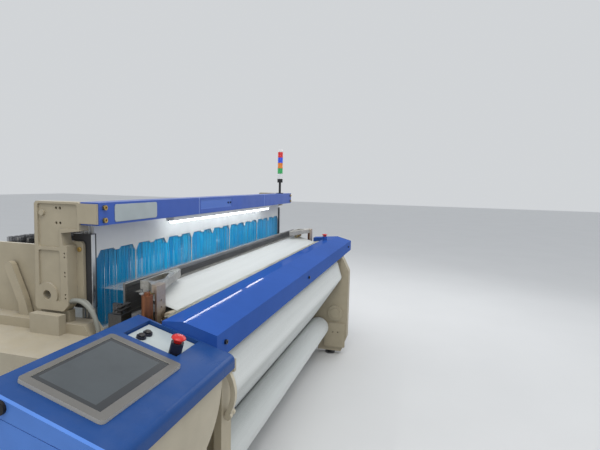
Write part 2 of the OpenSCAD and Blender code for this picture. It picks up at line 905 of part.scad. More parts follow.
module cabinet_door() {
    color("cornflowerblue") place() {
        difference() {
            span(cabinet_x0, cabinet_x0 + 3.5) door_outline(0);
            rod(cabinet_x0 - 1, cabinet_x0 + 2, [94, 480], 10);
        }
        for (z = hinges) {
            slab([cabinet_x0 - 2.5, cabinet_x0], [hinge[1] - 26, hinge[1] - 8], [z, z + 30]);
            difference() {
                union() {
                    slab([cabinet_x0 - 2.5, cabinet_x0 - gap], [hinge[1] - 9, hinge[1]], [z, z + 30]);
                    knuckle(z, 30, hinge_r);
                }
                knuckle(z - 1, 32, hinge_pin_r + fit);
            }
        }
    }
}

module hmi_bezel() {
    color("darkgray") place() on_console() translate([0, 0, seat]) difference() {
        linear_extrude(hmi_t) round_rect([hmi_x0, hmi_x1], [hmi_s0, hmi_s0 + hmi_d], 12);
        slab([hmi_x0 + 22, hmi_x1 - 22], [hmi_s0 + 26, hmi_s0 + hmi_d - 16], [hmi_t - 3, hmi_t + 1]);
    }
}

module hmi_screen() {
    color("darkslategray") place() on_console() translate([0, 0, seat])
        slab([hmi_x0 + 22, hmi_x1 - 22], [hmi_s0 + 26, hmi_s0 + hmi_d - 16], [hmi_t - 3, hmi_t - 1.4]);
}

plate_top = -tray_deep + 2;
button_s = 262;
start_x = tray_x0 + 34;
stop_x = tray_x0 + 66;
button_r = 11;
ring_h = 8;
stop_at = [tray_x0 + 25, 136];
stop_base_h = 42;
stop_sink = 22;

// Base of a stop button, with a bore for the head's stem
module stop_base(h, floor) {
    difference() {
        cylinder(h = h, r = stop_r - 3);
        translate([0, 0, floor]) cylinder(h = h, r = stop_stem_r + fit);
    }
}

module button_plate() {
    color("lightgray") place() on_console() {
        slab([tray_x0 + 6, tray_x1 - 3], [tray_s0 + 4, tray_s1 - 4], [-tray_deep, plate_top]);
        for (x = [start_x, stop_x]) translate([x, button_s, plate_top]) difference() {
            cylinder(h = ring_h, r = button_r + 4);
            cylinder(h = ring_h + 1, r = button_r + 0.4);
        }
        translate([stop_at[0], stop_at[1], plate_top]) stop_base(stop_base_h, 12);
    }
}

module push_button(x) {
    on_console() translate([x, button_s, plate_top + ring_h / 2]) {
        cylinder(h = 8, r = button_r);
        translate([0, 0, 8]) cylinder(h = 2, r1 = button_r, r2 = button_r - 2);
    }
}

module start_button() {
    color("black") place() push_button(start_x);
}

module stop_button() {
    color("black") place() push_button(stop_x);
}

// Red mushroom head: stem, then a domed cap turned from a profile
module stop_head() {
    cylinder(h = stop_sink + 8, r = stop_stem_r);
    translate([0, 0, stop_sink + 8]) rotate_extrude()
        polygon(concat([[0, 0], [stop_r - 6, 0], [stop_r, 5]],
            [for (a = [0:15:90]) [stop_r * cos(a), 5 + 9 * sin(a)]]));
}

module emergency_stop_left() {
    color("red") place() on_console()
        translate([stop_at[0], stop_at[1], plate_top + stop_base_h - stop_sink]) stop_head();
}

module emergency_stop_right() {
    color("red") place() translate([right_stop[0], right_stop[1], right_stop_z]) stop_head();
}

side_x = out_x + 350;
side_d = 385;
end_x0 = cover_x1;
end_x1 = cover_x1 + 80;
hub_c = [290, 770];

module end_cover() {
    color("royalblue") place() {
        difference() {
            span(end_x0, end_x1) polygon([[cover_d, cover_low], [cover_d, cover_edge - 3],
                crease - [0, 3], [side_d, 906], [side_d, 650], [262, 556], [122, 556],
                [122, cover_low]]);
            rod(end_x1 - 50, end_x1 + 1, hub_c, 20 + fit);
            rod(end_x1 - 4, end_x1 + 1, [130, 850], 12);
            rod(end_x1 - 4, end_x1 + 1, [180, 600], 10);
        }
    }
}

module waste_hub() {
    color("gainsboro") place() {
        difference() {
            rod(end_x1 - 40, end_x1 + 34, hub_c, 20);
            rod(end_x1 + 10, end_x1 + 35, hub_c, 15);
        }
        translate([end_x1 + 4, hub_c[0], hub_c[1]]) rotate([0, 90, 0]) difference() {
            cylinder(h = 26, r = 62, $fn = 6);
            translate([0, 0, 4]) cylinder(h = 30, r = 44, $fn = 6);
            translate([0, 0, -1]) cylinder(h = 30, r = 19);
        }
    }
}

module side_cover() {
    color("wheat") place() {
        difference() {
            span(out_x, side_x) polygon([[side_d, 500], [side_d, frame_top - 8],
                [side_d + 15, frame_top], [1150, frame_top - 14], [1160, frame_top - 22],
                [1160, 690], [880, 680], [880, 500]]);
            slab([side_x - 4, side_x + 1], [590, 700], [735, 770]);
            slab([side_x - 2, side_x + 1], [side_d - 1, 882], [672, 676]);
            slab([side_x - 2, side_x + 1], [940, 943], [670, frame_top]);
        }
        slab([out_x, side_x + 60], [600, 876], [500, 640]);
    }
}

// Shedding unit in its black housing beside the right frame
box_bow = [440, 330];

module box_outline() {
    polygon(concat([[300, 30], [300, 330]], arc(box_bow, 140, 180, 110, 8),
        [[560, 496], [860, 480]], arc([850, 430], 50, 78, 10, 4), [[940, 180], [940, 30]]));
}

module shedding_box() {
    color("dimgray") place() {
        difference() {
            span(out_x + 70, end_x) box_outline();
            span(end_x - 6, end_x + 1) rect([299, 941], [116, 119]);
            rod(end_x - 8, end_x + 1, [560, 78], 13);
        }
        for (x = [out_x + 90, end_x - 90], d = [330, 850])
            slab([x, x + 60], [d, d + 60], [0, 30]);
        span(out_x, out_x + 70) rect([420, 700], [300, 420]);
        span(end_x - 14, end_x)
            polygon(concat(arc(box_bow, 152, 165, 118, 6), arc(box_bow, 140, 118, 165, 6)));
    }
}

// Drive at the left end: housing, motor, pulleys and belt

housing_w = 210;
housing_x = -out_x - housing_w;
housing_back = 1140;
housing_top = frame_front_top + 4;
housing_wall = 4;
belt_x0 = -out_x - 150;

// Section of the drive housing, drawn smaller by s and open at the bottom
module housing_outline(s, low) {
    polygon([[400 + s, 330 - s], [400 + s, housing_top - 12 - s / 2], [412 + s / 2, housing_top - s],
        [housing_back - 10 - s / 2, housing_top - s], [housing_back - s, housing_top - 10 - s / 2],
        [housing_back - s, low], [900, low]]);
}

module drive_housing() {
    color("wheat") place() {
        difference() {
            span(housing_x, -out_x) housing_outline(0, 280);
            span(housing_x + housing_wall, -out_x + 1) housing_outline(housing_wall, 270);
            rod(housing_x - 1, housing_x + 10, motor_c, 40);
        }
        slab([-out_x - 32, -out_x], [column_d + 13, column_back - 5], [housing_top, column_low - 8]);
    }
}

module main_motor() {
    x1 = housing_x;
    x0 = x1 - 250;
    color("slategray") place() {
        difference() {
            union() {
                rod(x0, x1 - 20, motor_c, 92);
                rod(x1 - 20, x1, motor_c, 105);
            }
            rod(x1 - 40, x1 + 1, motor_c, motor_j + fit);
        }
        for (a = [0:15:345]) translate([0, motor_c[0], motor_c[1]]) rotate([a, 0, 0])
            slab([x0 + 50, x1 - 30], [90, 104], [-2, 2]);
        rod(x0 - 12, x0, motor_c, 100);
        translate([x0, motor_c[0], 0]) {
            slab([60, 150], [-45, 45], [motor_c[1] + 85, motor_c[1] + 130]);
            slab([20, 230], [-90, 90], [0, 20]);
            for (d = [-50, 50]) slab([40, 220], [d - 12, d + 12], [20, motor_c[1] - 70]);
        }
    }
}

module pulley(c, r) {
    difference() {
        union() {
            rod(belt_x0, belt_x0 + belt_w, c, r);
            rod(belt_x0 - 4, belt_x0, c, r + 6);
            rod(belt_x0 + belt_w, belt_x0 + belt_w + 4, c, r + 6);
        }
        if (r > 100) for (a = [0:60:300])
            rod(belt_x0 - 5, belt_x0 + belt_w + 5, polar(c, r * 0.6, a), r * 0.2);
    }
}

module motor_pulley() {
    color("dimgray") place() {
        pulley(motor_c, motor_pulley_r);
        rod(housing_x - 38, belt_x0, motor_c, motor_j);
    }
}

module drive_pulley() {
    color("dimgray") place() {
        pulley(pulley_c, pulley_r);
        rod(belt_x0 + belt_w, -in_x - 10, pulley_c, pulley_j);
    }
}

module belt_outline(k) {
    hull() {
        dot(pulley_c, pulley_r + k);
        dot(motor_c, motor_pulley_r + k);
    }
}

module drive_belt() {
    color("black") place() span(belt_x0 + 1, belt_x0 + belt_w - 1) difference() {
        belt_outline(gap + 5, $fn = 96);
        belt_outline(gap, $fn = 96);
    }
}

// Warp side: beam, back roller, tension levers, drop wires and warp

flange_x = cloth_x + 4;

module flange() {
    difference() {
        union() {
            rod(0, 6, warp_c, flange_r);
            difference() {
                rod(0, 14, warp_c, flange_r);
                rod(5, 15, warp_c, flange_r - 22);
            }
            rod(0, 14, warp_c, 130);
            for (a = [0:45:315]) translate([0, warp_c[0], warp_c[1]]) rotate([a, 0, 0])
                slab([0, 12], [100, flange_r - 10], [-6, 6]);
        }
        rod(-1, 15, warp_c, barrel_r);
    }
}

module warp_beam() {
    color("silver") place() {
        both_ends() translate([flange_x - 16, 0, 0]) flange();
        rod(-flange_x + 2, flange_x - 2, warp_c, barrel_r);
        rod(-journal_x, journal_x, warp_c, warp_j);
    }
}

module warp_yarn() {
    color("whitesmoke") place() difference() {
        rod(-flange_x + 16, flange_x - 16, warp_c, yarn_r);
        rod(-flange_x - 1, flange_x + 1, warp_c, barrel_r);
    }
}

module back_roller() {
    color("silver") place() {
        rod(-in_x + 34, in_x - 34, back_c, back_r);
        rod(-in_x + 8, in_x - 8, back_c, back_j);
    }
}

module tension_lever_arm() {
    a = heading(lever_c, back_c);
    difference() {
        union() {
            dot(lever_c, 34);
            dot(back_c, 28);
            polygon([polar(lever_c, 30, a + 90), polar(lever_c, 30, a - 90),
                polar(back_c, 24, a - 90), polar(back_c, 24, a + 90)]);
            polygon([polar(lever_c, 24, 200), polar(lever_c, 24, 20), lever_c + [-14, -70],
                lever_c + [-40, -66]]);
        }
        dot(back_c, back_j + fit);
    }
}

module tension_levers() {
    color("dimgray") place() {
        both_ends() span(in_x - 28, in_x - 6) tension_lever_arm();
        rod(-in_x + 28, in_x - 28, lever_c, 26);
        both_ends() rod(in_x - 6, out_x - 15, lever_c, lever_j);
    }
}

drop_gaps = 40;

// Height of the warp's lower face at depth d, between the healds and the back roller
warp_end = [heald_d + 4 * heald_pitch + 8, fell[1] + 2];
function warp_z(d) = warp_end[1] + (d - warp_end[0])
    * (back_c[1] + back_r - warp_end[1]) / (back_c[0] - warp_end[0]);

// Rows of drop wires on their contact bars, standing on the warp
module drop_wires() {
    p = 2 * cloth_x / drop_gaps;
    color("silver") place() for (d = [column_back + 105:50:column_back + 255]) {
        rod(-in_x, in_x, [d, bar_h], 6);
        translate([0, d + 1, 0]) rotate([90, 0, 0]) linear_extrude(2) difference() {
            rect([-cloth_x, cloth_x], [warp_z(d) + 8, bar_h + 30]);
            for (i = [0:drop_gaps - 1]) translate([-cloth_x + (i + 0.5) * p, 0])
                rect([-p * 0.25, p * 0.25], [warp_z(d) + 14, bar_h - 10]);
        }
    }
}

module warp_sheet() {
    leave = outer_touch(warp_c, yarn_r + layer, back_c, back_r + layer, -1);
    meet = outer_touch(back_c, back_r + layer, warp_end, 0, -1) + 360;
    line = concat([polar(warp_c, yarn_r + layer, leave)],
        arc(back_c, back_r + layer, leave, meet, 8), [warp_end]);
    color("whitesmoke") place() span(-flange_x + 18, flange_x - 18)
        polygon(concat(shifted(line, cloth_t / 2), backwards(shifted(line, -cloth_t / 2))));
}

frame_left();
frame_right();
cross_girders();
levelling_feet();
column_left();
column_right();
heald_guides();
top_beam();
name_plate();
cover_bolts();
lamp_housing();
lamp_tube();
tower_base();
tower_lenses();
heald_frame_1();
heald_frame_2();
heald_frame_3();
heald_frame_4();
sley();
reed();
main_nozzle();
temple_left();
temple_right();
temple_ring_left();
temple_ring_right();
cloth_rail();
take_up_roller();
press_roller();
guide_roller();
cloth();
cloth_roll();
roll_shaft();
roll_lever();
front_cover();
console_top();
cabinet_body();
end_panel();
cabinet_door();
hmi_bezel();
hmi_screen();
button_plate();
start_button();
stop_button();
emergency_stop_left();
emergency_stop_right();
end_cover();
waste_hub();
side_cover();
shedding_box();
drive_housing();
main_motor();
motor_pulley();
drive_pulley();
drive_belt();
warp_beam();
warp_yarn();
back_roller();
tension_levers();
drop_wires();
warp_sheet();
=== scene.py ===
"""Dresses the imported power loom: camera, studio, materials and the fine pieces."""
import math
import random

import bpy
from mathutils import Matrix, Vector


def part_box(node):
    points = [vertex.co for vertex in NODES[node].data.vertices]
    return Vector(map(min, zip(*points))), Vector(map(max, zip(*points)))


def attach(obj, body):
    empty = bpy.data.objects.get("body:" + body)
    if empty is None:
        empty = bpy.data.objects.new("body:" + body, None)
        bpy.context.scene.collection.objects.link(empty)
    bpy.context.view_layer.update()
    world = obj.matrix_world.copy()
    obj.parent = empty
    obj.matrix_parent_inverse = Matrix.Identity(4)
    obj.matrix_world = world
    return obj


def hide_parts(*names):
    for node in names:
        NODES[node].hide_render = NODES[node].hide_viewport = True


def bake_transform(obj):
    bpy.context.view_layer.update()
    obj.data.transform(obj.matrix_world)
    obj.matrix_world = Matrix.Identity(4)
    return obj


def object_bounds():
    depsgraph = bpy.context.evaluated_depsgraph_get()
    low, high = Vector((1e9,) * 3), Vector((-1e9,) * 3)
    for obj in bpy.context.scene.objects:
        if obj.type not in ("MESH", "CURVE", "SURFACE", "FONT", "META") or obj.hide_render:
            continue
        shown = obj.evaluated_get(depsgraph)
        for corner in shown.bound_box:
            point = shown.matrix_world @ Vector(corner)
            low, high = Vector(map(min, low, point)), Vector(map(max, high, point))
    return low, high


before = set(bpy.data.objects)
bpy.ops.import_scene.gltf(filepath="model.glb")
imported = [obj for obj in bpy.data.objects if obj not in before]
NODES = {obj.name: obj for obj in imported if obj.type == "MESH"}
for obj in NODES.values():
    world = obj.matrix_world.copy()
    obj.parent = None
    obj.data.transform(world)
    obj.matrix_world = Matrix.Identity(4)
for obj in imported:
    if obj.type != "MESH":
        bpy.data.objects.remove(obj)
CAD_LO, CAD_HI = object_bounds()
random.seed(7)

# Camera fitted to the photo: angles, place in metres, focal length in pixels of a 600 px wide image
YAW, PITCH, ROLL = (math.radians(angle) for angle in (15.799, 5.37, 1.353))
CAMERA_AT = Vector((-2.385, -1.404, 1.380))
FOCAL_PX = 440.7
IMAGE_PX = 600
SENSOR_MM = 36
forward = Vector((math.cos(YAW) * math.cos(PITCH), math.sin(YAW) * math.cos(PITCH), -math.sin(PITCH)))
level_right = Vector((math.sin(YAW), -math.cos(YAW), 0))
level_up = level_right.cross(forward)
right = math.cos(ROLL) * level_right + math.sin(ROLL) * level_up
up = math.cos(ROLL) * level_up - math.sin(ROLL) * level_right
camera_data = bpy.data.cameras.new("camera")
camera_data.sensor_width = SENSOR_MM
camera_data.lens = FOCAL_PX / IMAGE_PX * SENSOR_MM
camera_data.clip_start = 0.05
camera = bpy.data.objects.new("camera", camera_data)
camera.matrix_world = Matrix.LocRotScale(
    CAMERA_AT, Matrix((right, up, -forward)).transposed().to_quaternion(), None)
bpy.context.scene.collection.objects.link(camera)
bpy.context.scene.camera = camera


# Materials
class Look:
    """One node material, with short ways to add its nodes."""

    NOISE_ROUGH = 0.55
    WAVE_PERIOD = 0.31416
    DUST = (0.42, 0.40, 0.36)
    DARKEN = (0.25, 0.25, 0.25)

    def __init__(self, name, color, rough, metal=0.0, coat=0.0, coat_rough=0.05, spec=0.5):
        self.mat = bpy.data.materials.new(name)
        self.mat.use_nodes = True
        self.nodes = self.mat.node_tree.nodes
        self.links = self.mat.node_tree.links
        self.bsdf = self.nodes["Principled BSDF"]
        self.put(self.bsdf, "Base Color", (*color, 1))
        self.put(self.bsdf, "Roughness", rough)
        self.put(self.bsdf, "Metallic", metal)
        self.put(self.bsdf, "Coat Weight", coat)
        self.put(self.bsdf, "Coat Roughness", coat_rough)
        self.put(self.bsdf, "Specular IOR Level", spec)
        self.mat.diffuse_color = (*color, 1)
        self.color = self.rgb(color)
        self.normal = None
        self.place = self.add("ShaderNodeTexCoord").outputs["Object"]

    def add(self, kind, **settings):
        node = self.nodes.new(kind)
        for key, value in settings.items():
            setattr(node, key, value)
        return node

    def put(self, node, name, value):
        """Sets a socket to a value, or links it to another node's output."""
        if isinstance(value, bpy.types.NodeSocket):
            self.links.new(value, node.inputs[name])
        else:
            node.inputs[name].default_value = value

    def rgb(self, color):
        node = self.add("ShaderNodeRGB")
        node.outputs[0].default_value = (*color, 1)
        return node.outputs[0]

    def math(self, op, a, b):
        node = self.add("ShaderNodeMath", operation=op)
        self.put(node, 0, a)
        self.put(node, 1, b)
        return node.outputs[0]

    def both(self, a, b):
        return self.math("MULTIPLY", a, b)

    def stretch(self, scale):
        """Object coordinates scaled on each axis."""
        node = self.add("ShaderNodeMapping")
        self.put(node, "Vector", self.place)
        self.put(node, "Scale", scale)
        return node.outputs[0]

    def noise(self, scale, detail, vector=None):
        node = self.add("ShaderNodeTexNoise")
        self.put(node, "Vector", vector or self.place)
        self.put(node, "Scale", scale)
        self.put(node, "Detail", detail)
        self.put(node, "Roughness", self.NOISE_ROUGH)
        return node.outputs["Fac"]

    def wave(self, axis, pitch):
        """Stripes across an axis, one per pitch in metres."""
        node = self.add("ShaderNodeTexWave", bands_direction=axis, wave_profile="SIN")
        self.put(node, "Vector", self.place)
        self.put(node, "Scale", self.WAVE_PERIOD / pitch)
        return node.outputs["Fac"]

    def ramp(self, value, low, high, a=0.0, b=1.0):
        node = self.add("ShaderNodeMapRange")
        self.put(node, "Value", value)
        for name, x in (("From Min", low), ("From Max", high), ("To Min", a), ("To Max", b)):
            self.put(node, name, x)
        return node.outputs["Result"]

    def tint(self, mask, color, mode="MIX"):
        """Mixes a colour into the base colour where the mask is 1."""
        node = self.add("ShaderNodeMix", data_type="RGBA", blend_type=mode)
        self.put(node, 0, mask)
        self.links.new(self.color, node.inputs[6])
        node.inputs[7].default_value = (*color, 1)
        self.color = node.outputs[2]
        self.links.new(self.color, self.bsdf.inputs["Base Color"])

    def vary(self, amount, scale):
        """Slow light and dark changes of the colour."""
        self.tint(self.ramp(self.noise(scale, 4), 0.35, 0.65, 0, amount), self.DARKEN, "MULTIPLY")

    def set_rough(self, mask, a, b):
        self.put(self.bsdf, "Roughness", self.ramp(mask, 0.3, 0.7, a, b))

    def set_normal(self, node):
        self.normal = node.outputs[0]
        self.put(self.bsdf, "Normal", self.normal)

    def bevel(self, radius):
        """Rounds the edges in the shading."""
        node = self.add("ShaderNodeBevel", samples=4)
        self.put(node, "Radius", radius)
        self.set_normal(node)

    def bump(self, height, strength, distance=0.001):
        node = self.add("ShaderNodeBump")
        self.put(node, "Height", height)
        self.put(node, "Strength", strength)
        self.put(node, "Distance", distance)
        if self.normal:
            self.put(node, "Normal", self.normal)
        self.set_normal(node)

    def worn_edges(self, color, radius):
        """Colour rubbed off along the edges, broken up by noise."""
        soft = self.add("ShaderNodeBevel", samples=4)
        self.put(soft, "Radius", radius)
        flat = self.add("ShaderNodeNewGeometry").outputs["Normal"]
        edge = self.ramp(self.along(flat, soft.outputs[0]), 0.99, 0.86)
        broken = self.ramp(self.noise(60, 5), 0.45, 0.62)
        self.tint(self.both(self.both(edge, broken), 0.7), color)

    def inside(self, low, high):
        """1 inside a box given by two corners in metres, where None is no bound."""
        split = self.add("ShaderNodeSeparateXYZ")
        self.put(split, 0, self.place)
        mask = None
        for i in range(3):
            for op, bound in (("GREATER_THAN", low[i]), ("LESS_THAN", high[i])):
                if bound is None:
                    continue
                one = self.math(op, split.outputs[i], bound)
                mask = one if mask is None else self.both(mask, one)
        return mask

    def along(self, direction, vector=None):
        """Each point's distance along a direction, or another vector's share of it."""
        dot = self.add("ShaderNodeVectorMath", operation="DOT_PRODUCT")
        self.put(dot, 0, vector or self.place)
        self.put(dot, 1, direction)
        return dot.outputs["Value"]

    def between(self, value, low, high):
        return self.both(self.math("GREATER_THAN", value, low), self.math("LESS_THAN", value, high))

    def dust(self, amount):
        """Lint and dust on faces that look up."""
        split = self.add("ShaderNodeSeparateXYZ")
        self.put(split, 0, self.add("ShaderNodeNewGeometry").outputs["Normal"])
        face = self.ramp(split.outputs[2], 0.6, 1.0)
        spots = self.ramp(self.noise(14, 6), 0.42, 0.66)
        self.tint(self.both(self.both(face, spots), amount), self.DUST)


def painted(name, color, rough, coat=0.0, wear=(0.20, 0.18, 0.15), vary=0.16, peel=0.06,
            dusty=0.3, radius=0.003, spec=0.4):
    look = Look(name, color, rough, coat=coat, coat_rough=0.03, spec=spec)
    look.vary(vary, 2.2)
    look.vary(vary * 0.6, 17)
    if wear:
        look.worn_edges(wear, radius)
    if dusty:
        look.dust(dusty)
    look.set_rough(look.noise(6, 4), rough - 0.07, rough + 0.12)
    look.bevel(radius)
    look.bump(look.noise(90, 2), peel)
    return look


GRAIN = {"X": (8, 260, 260), "Z": (260, 260, 8), "even": (120, 120, 120)}


def bare_metal(name, color, rough, grain="X"):
    look = Look(name, color, rough, metal=1.0)
    streak = look.noise(1.0, 3, vector=look.stretch(GRAIN[grain]))
    look.vary(0.3, 5)
    look.tint(look.ramp(streak, 0.35, 0.7, 0, 0.25), (0.1, 0.1, 0.1), "MULTIPLY")
    look.set_rough(streak, rough - 0.08, rough + 0.14)
    look.bevel(0.0015)
    look.bump(streak, 0.08)
    return look


def plastic(name, color, rough, vary=0.2, grain=0.1, radius=0.0015):
    look = Look(name, color, rough)
    look.vary(vary, 9)
    look.set_rough(look.noise(30, 4), rough - 0.06, rough + 0.1)
    look.bevel(radius)
    look.bump(look.noise(500, 2), grain, 0.0004)
    return look


looks = {
    "beige_cast": painted("beige_casting", (0.42, 0.365, 0.26), 0.5, peel=0.16, dusty=0.5),
    "panel": painted("beige_panel", (0.44, 0.39, 0.29), 0.4, wear=None, radius=0.0012),
    "cream": painted("cream_enamel", (0.58, 0.52, 0.39), 0.36),
    "cover": painted("blue_cover", (0.028, 0.094, 0.37), 0.35, coat=0.16, wear=None, vary=0.10,
                     peel=0.001, dusty=0.0, radius=0.0012, spec=0.0),
    "console": painted("blue_console", (0.018, 0.066, 0.225), 0.28, coat=0.10, wear=None, vary=0.12,
                       peel=0.003, dusty=0.03, radius=0.0015, spec=0.08),
    "plate": painted("plate_grey", (0.42, 0.47, 0.47), 0.38, vary=0.15, dusty=0.1),
    "white": painted("white_enamel", (0.72, 0.73, 0.72), 0.35, vary=0.15, dusty=0.1),
    "motor": painted("motor_grey", (0.13, 0.16, 0.19), 0.42, dusty=0.5),
    "heald_rail": painted("heald_rail", (0.74, 0.75, 0.74), 0.38, vary=0.12, dusty=0.0,
                          wear=(0.4, 0.4, 0.4)),
    "black": plastic("black_plastic", (0.012, 0.012, 0.014), 0.32),
    "black_cover": plastic("black_textured_cover", (0.018, 0.019, 0.021), 0.5, 0.3, 0.5, 0.006),
    "guide": plastic("guide_plastic", (0.03, 0.03, 0.033), 0.45),
    "red": plastic("red_cap", (0.55, 0.012, 0.010), 0.22, 0.1, 0.02),
    "rubber": plastic("black_rubber", (0.014, 0.014, 0.014), 0.65, 0.3, 0.4),
    "hose": plastic("grey_hose", (0.27, 0.275, 0.24), 0.45, 0.3, 0.15),
    "latch": plastic("yellow_latch", (0.62, 0.44, 0.04), 0.4),
    "dark_steel": bare_metal("dark_steel", (0.16, 0.16, 0.165), 0.42),
    "reed": bare_metal("reed_band", (0.30, 0.30, 0.30), 0.46),
    "steel": bare_metal("turned_steel", (0.55, 0.55, 0.56), 0.28),
    "rail": bare_metal("breast_rail", (0.66, 0.65, 0.52), 0.4),
    "aluminium": bare_metal("cast_aluminium", (0.60, 0.60, 0.60), 0.42, "even"),
    "stay": bare_metal("bright_stay", (0.80, 0.81, 0.82), 0.3, "Z"),
    "gold": bare_metal("yellow_zinc", (0.72, 0.50, 0.17), 0.3, "even"),
    "brass": bare_metal("brass", (0.70, 0.52, 0.20), 0.25, "even"),
}

# Light blue end panel with a black plug; the hinge stands out from the cabinet's end
HINGE_PROUD = 0.0076
CABINET_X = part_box("cabinet_door")[0][0] + HINGE_PROUD
PLUG_Y, PLUG_Z, PLUG_HALF = -0.564, 0.896, 0.017
end_panel = painted("light_blue_panel", (0.085, 0.22, 0.62), 0.38, coat=0.05, wear=None, vary=0.12,
                    dusty=0.03, peel=0.01, radius=0.0012, spec=0.2)
plug = end_panel.inside((None, PLUG_Y - PLUG_HALF, PLUG_Z - PLUG_HALF),
                        (CABINET_X - 0.0003, PLUG_Y + PLUG_HALF, PLUG_Z + PLUG_HALF))
end_panel.tint(plug, (0.012, 0.012, 0.014))
looks["end"] = end_panel

# Beam with a paler recessed field and two pale panel seams
BEAM_FRONT_Y = -0.320
FIELD_LOW, FIELD_HIGH = (-0.405, -0.331, 1.24), (-0.040, BEAM_FRONT_Y, 1.288)
SEAMS = (-0.423, 0.494)
beam = painted("beam_blue", (0.030, 0.095, 0.42), 0.4, coat=0.1, wear=(0.2, 0.26, 0.5), vary=0.12,
               dusty=0.15, radius=0.0015)
beam.tint(beam.inside(FIELD_LOW, FIELD_HIGH), (0.060, 0.15, 0.50))
for x in SEAMS:
    seam = beam.inside((x - 0.001, None, None), (x + 0.003, BEAM_FRONT_Y, None))
    beam.tint(seam, (0.30, 0.40, 0.70))
looks["beam"] = beam

# Lit tube under the beam
LAMP_STRENGTH = 7.0
lamp = Look("lit_tube", (0.9, 0.92, 0.92), 0.35)
lamp.vary(0.05, 8)
lamp.put(lamp.bsdf, "Emission Color", (0.93, 0.98, 1.0, 1))
lamp.put(lamp.bsdf, "Emission Strength", LAMP_STRENGTH)
looks["lamp"] = lamp

# Signal tower, coloured by height
LENS_EDGES = (1.454, 1.4965, 1.538, 1.580, 1.622)
LENS_COLORS = ((0.02, 0.42, 0.10), (0.80, 0.22, 0.01), (0.02, 0.08, 0.75), (0.70, 0.01, 0.01))
tower = Look("signal_lenses", (0.75, 0.75, 0.74), 0.15, coat=0.6)
for low, high, color in zip(LENS_EDGES, LENS_EDGES[1:], LENS_COLORS):
    tower.tint(tower.inside((None, None, low), (None, None, high)), color)
tower.vary(0.15, 30)
tower.bump(tower.wave("Z", 0.003), 0.5, 0.0006)
looks["tower"] = tower

# Woven cloth: crossing yarns as bump, with slubs and slow bars in the colour
CLOTH_PITCH = 0.0012
cloth_look = Look("greige_cloth", (0.60, 0.62, 0.60), 0.82, spec=0.25)
cloth_look.put(cloth_look.bsdf, "Sheen Weight", 0.25)
cloth_look.put(cloth_look.bsdf, "Sheen Roughness", 0.5)
crossing = cloth_look.both(cloth_look.wave("X", CLOTH_PITCH), cloth_look.wave("Y", CLOTH_PITCH * 1.1))
slubs = cloth_look.noise(1.0, 4, vector=cloth_look.stretch((3, 400, 400)))
slow_bars = cloth_look.noise(1.0, 3, vector=cloth_look.stretch((0.6, 22, 22)))
cloth_look.tint(cloth_look.ramp(slow_bars, 0.35, 0.7, 0, 0.14), (0.35, 0.35, 0.34), "MULTIPLY")
cloth_look.tint(cloth_look.ramp(slubs, 0.45, 0.75, 0, 0.12), (0.4, 0.4, 0.4), "MULTIPLY")
cloth_look.bump(crossing, 0.5, 0.0004)
cloth_look.bump(cloth_look.noise(5, 3), 0.12, 0.01)
looks["cloth"] = cloth_look

# Warp yarn, and the grip covering of the take-up roller
YARN_PITCH = 0.0021
yarn_look = Look("warp_yarn", (0.66, 0.66, 0.62), 0.8, spec=0.25)
yarn_look.vary(0.10, 3)
yarn_look.tint(yarn_look.ramp(yarn_look.wave("X", YARN_PITCH), 0.2, 0.8, 0.25, 0), (0.3, 0.3, 0.3),
               "MULTIPLY")
yarn_look.bump(yarn_look.wave("X", YARN_PITCH), 0.6, 0.0008)
looks["yarn"] = yarn_look
grip = plastic("grip_covering", (0.10, 0.11, 0.085), 0.7, 0.3, 0.2)
grip.bump(grip.noise(900, 1), 0.9, 0.0008)
looks["grip"] = grip

# Healds: bright coated wires, with painted shade towards the left end, away from the lamp
heald = Look("coated_heald", (0.002, 0.42, 0.88), 0.35, coat=0.2)
pale = heald.noise(1.0, 3, vector=heald.stretch((90, 90, 4)))
heald.tint(heald.ramp(pale, 0.36, 0.56), (0.01, 0.62, 1.0))
deep = heald.noise(1.0, 2, vector=heald.stretch((160, 160, 7)))
heald.tint(heald.ramp(deep, 0.56, 0.75), (0.002, 0.14, 0.42))
# Painted shade: the wires darken towards the left end, where the lamp's light falls off
heald.tint(heald.ramp(heald.along((-1, 0, 0)), 0.72, 1.02, 0, 0.75), (0.002, 0.09, 0.27))
looks["heald"] = heald

# Temples: bare casting, beige bracket and a copper coloured solenoid
BRACKET_X, SOLENOID_X = (1.025, 1.12), (1.0845, 1.13)
TEMPLE_FRONT_Y, BRACKET_BACK_Y, SOLENOID_BACK_Y = -0.535, -0.50, -0.47
SOLENOID_Z = 0.834
for side, name in ((-1, "temple_left"), (1, "temple_right")):
    temple = bare_metal(name, (0.62, 0.60, 0.55), 0.45, "even")
    low, high = sorted(side * x for x in BRACKET_X)
    bracket = temple.inside((low, TEMPLE_FRONT_Y, None), (high, BRACKET_BACK_Y, None))
    temple.tint(bracket, (0.50, 0.42, 0.34))
    low, high = sorted(side * x for x in SOLENOID_X)
    solenoid = temple.inside((low, TEMPLE_FRONT_Y, SOLENOID_Z), (high, SOLENOID_BACK_Y, None))
    temple.tint(solenoid, (0.30, 0.13, 0.07))
    looks[name] = temple

# Console plane: its tilt, its normal, the direction up its slope and its distance along each
TILT = math.radians(15.4)
UPWARD = (0, -math.sin(TILT), math.cos(TILT))
SLOPE = (0, math.cos(TILT), math.sin(TILT))
CONSOLE_AT = Vector((0, -0.840, 0.838))
CONSOLE_UP = CONSOLE_AT.dot(Vector(UPWARD))
CONSOLE_ALONG = CONSOLE_AT.dot(Vector(SLOPE))

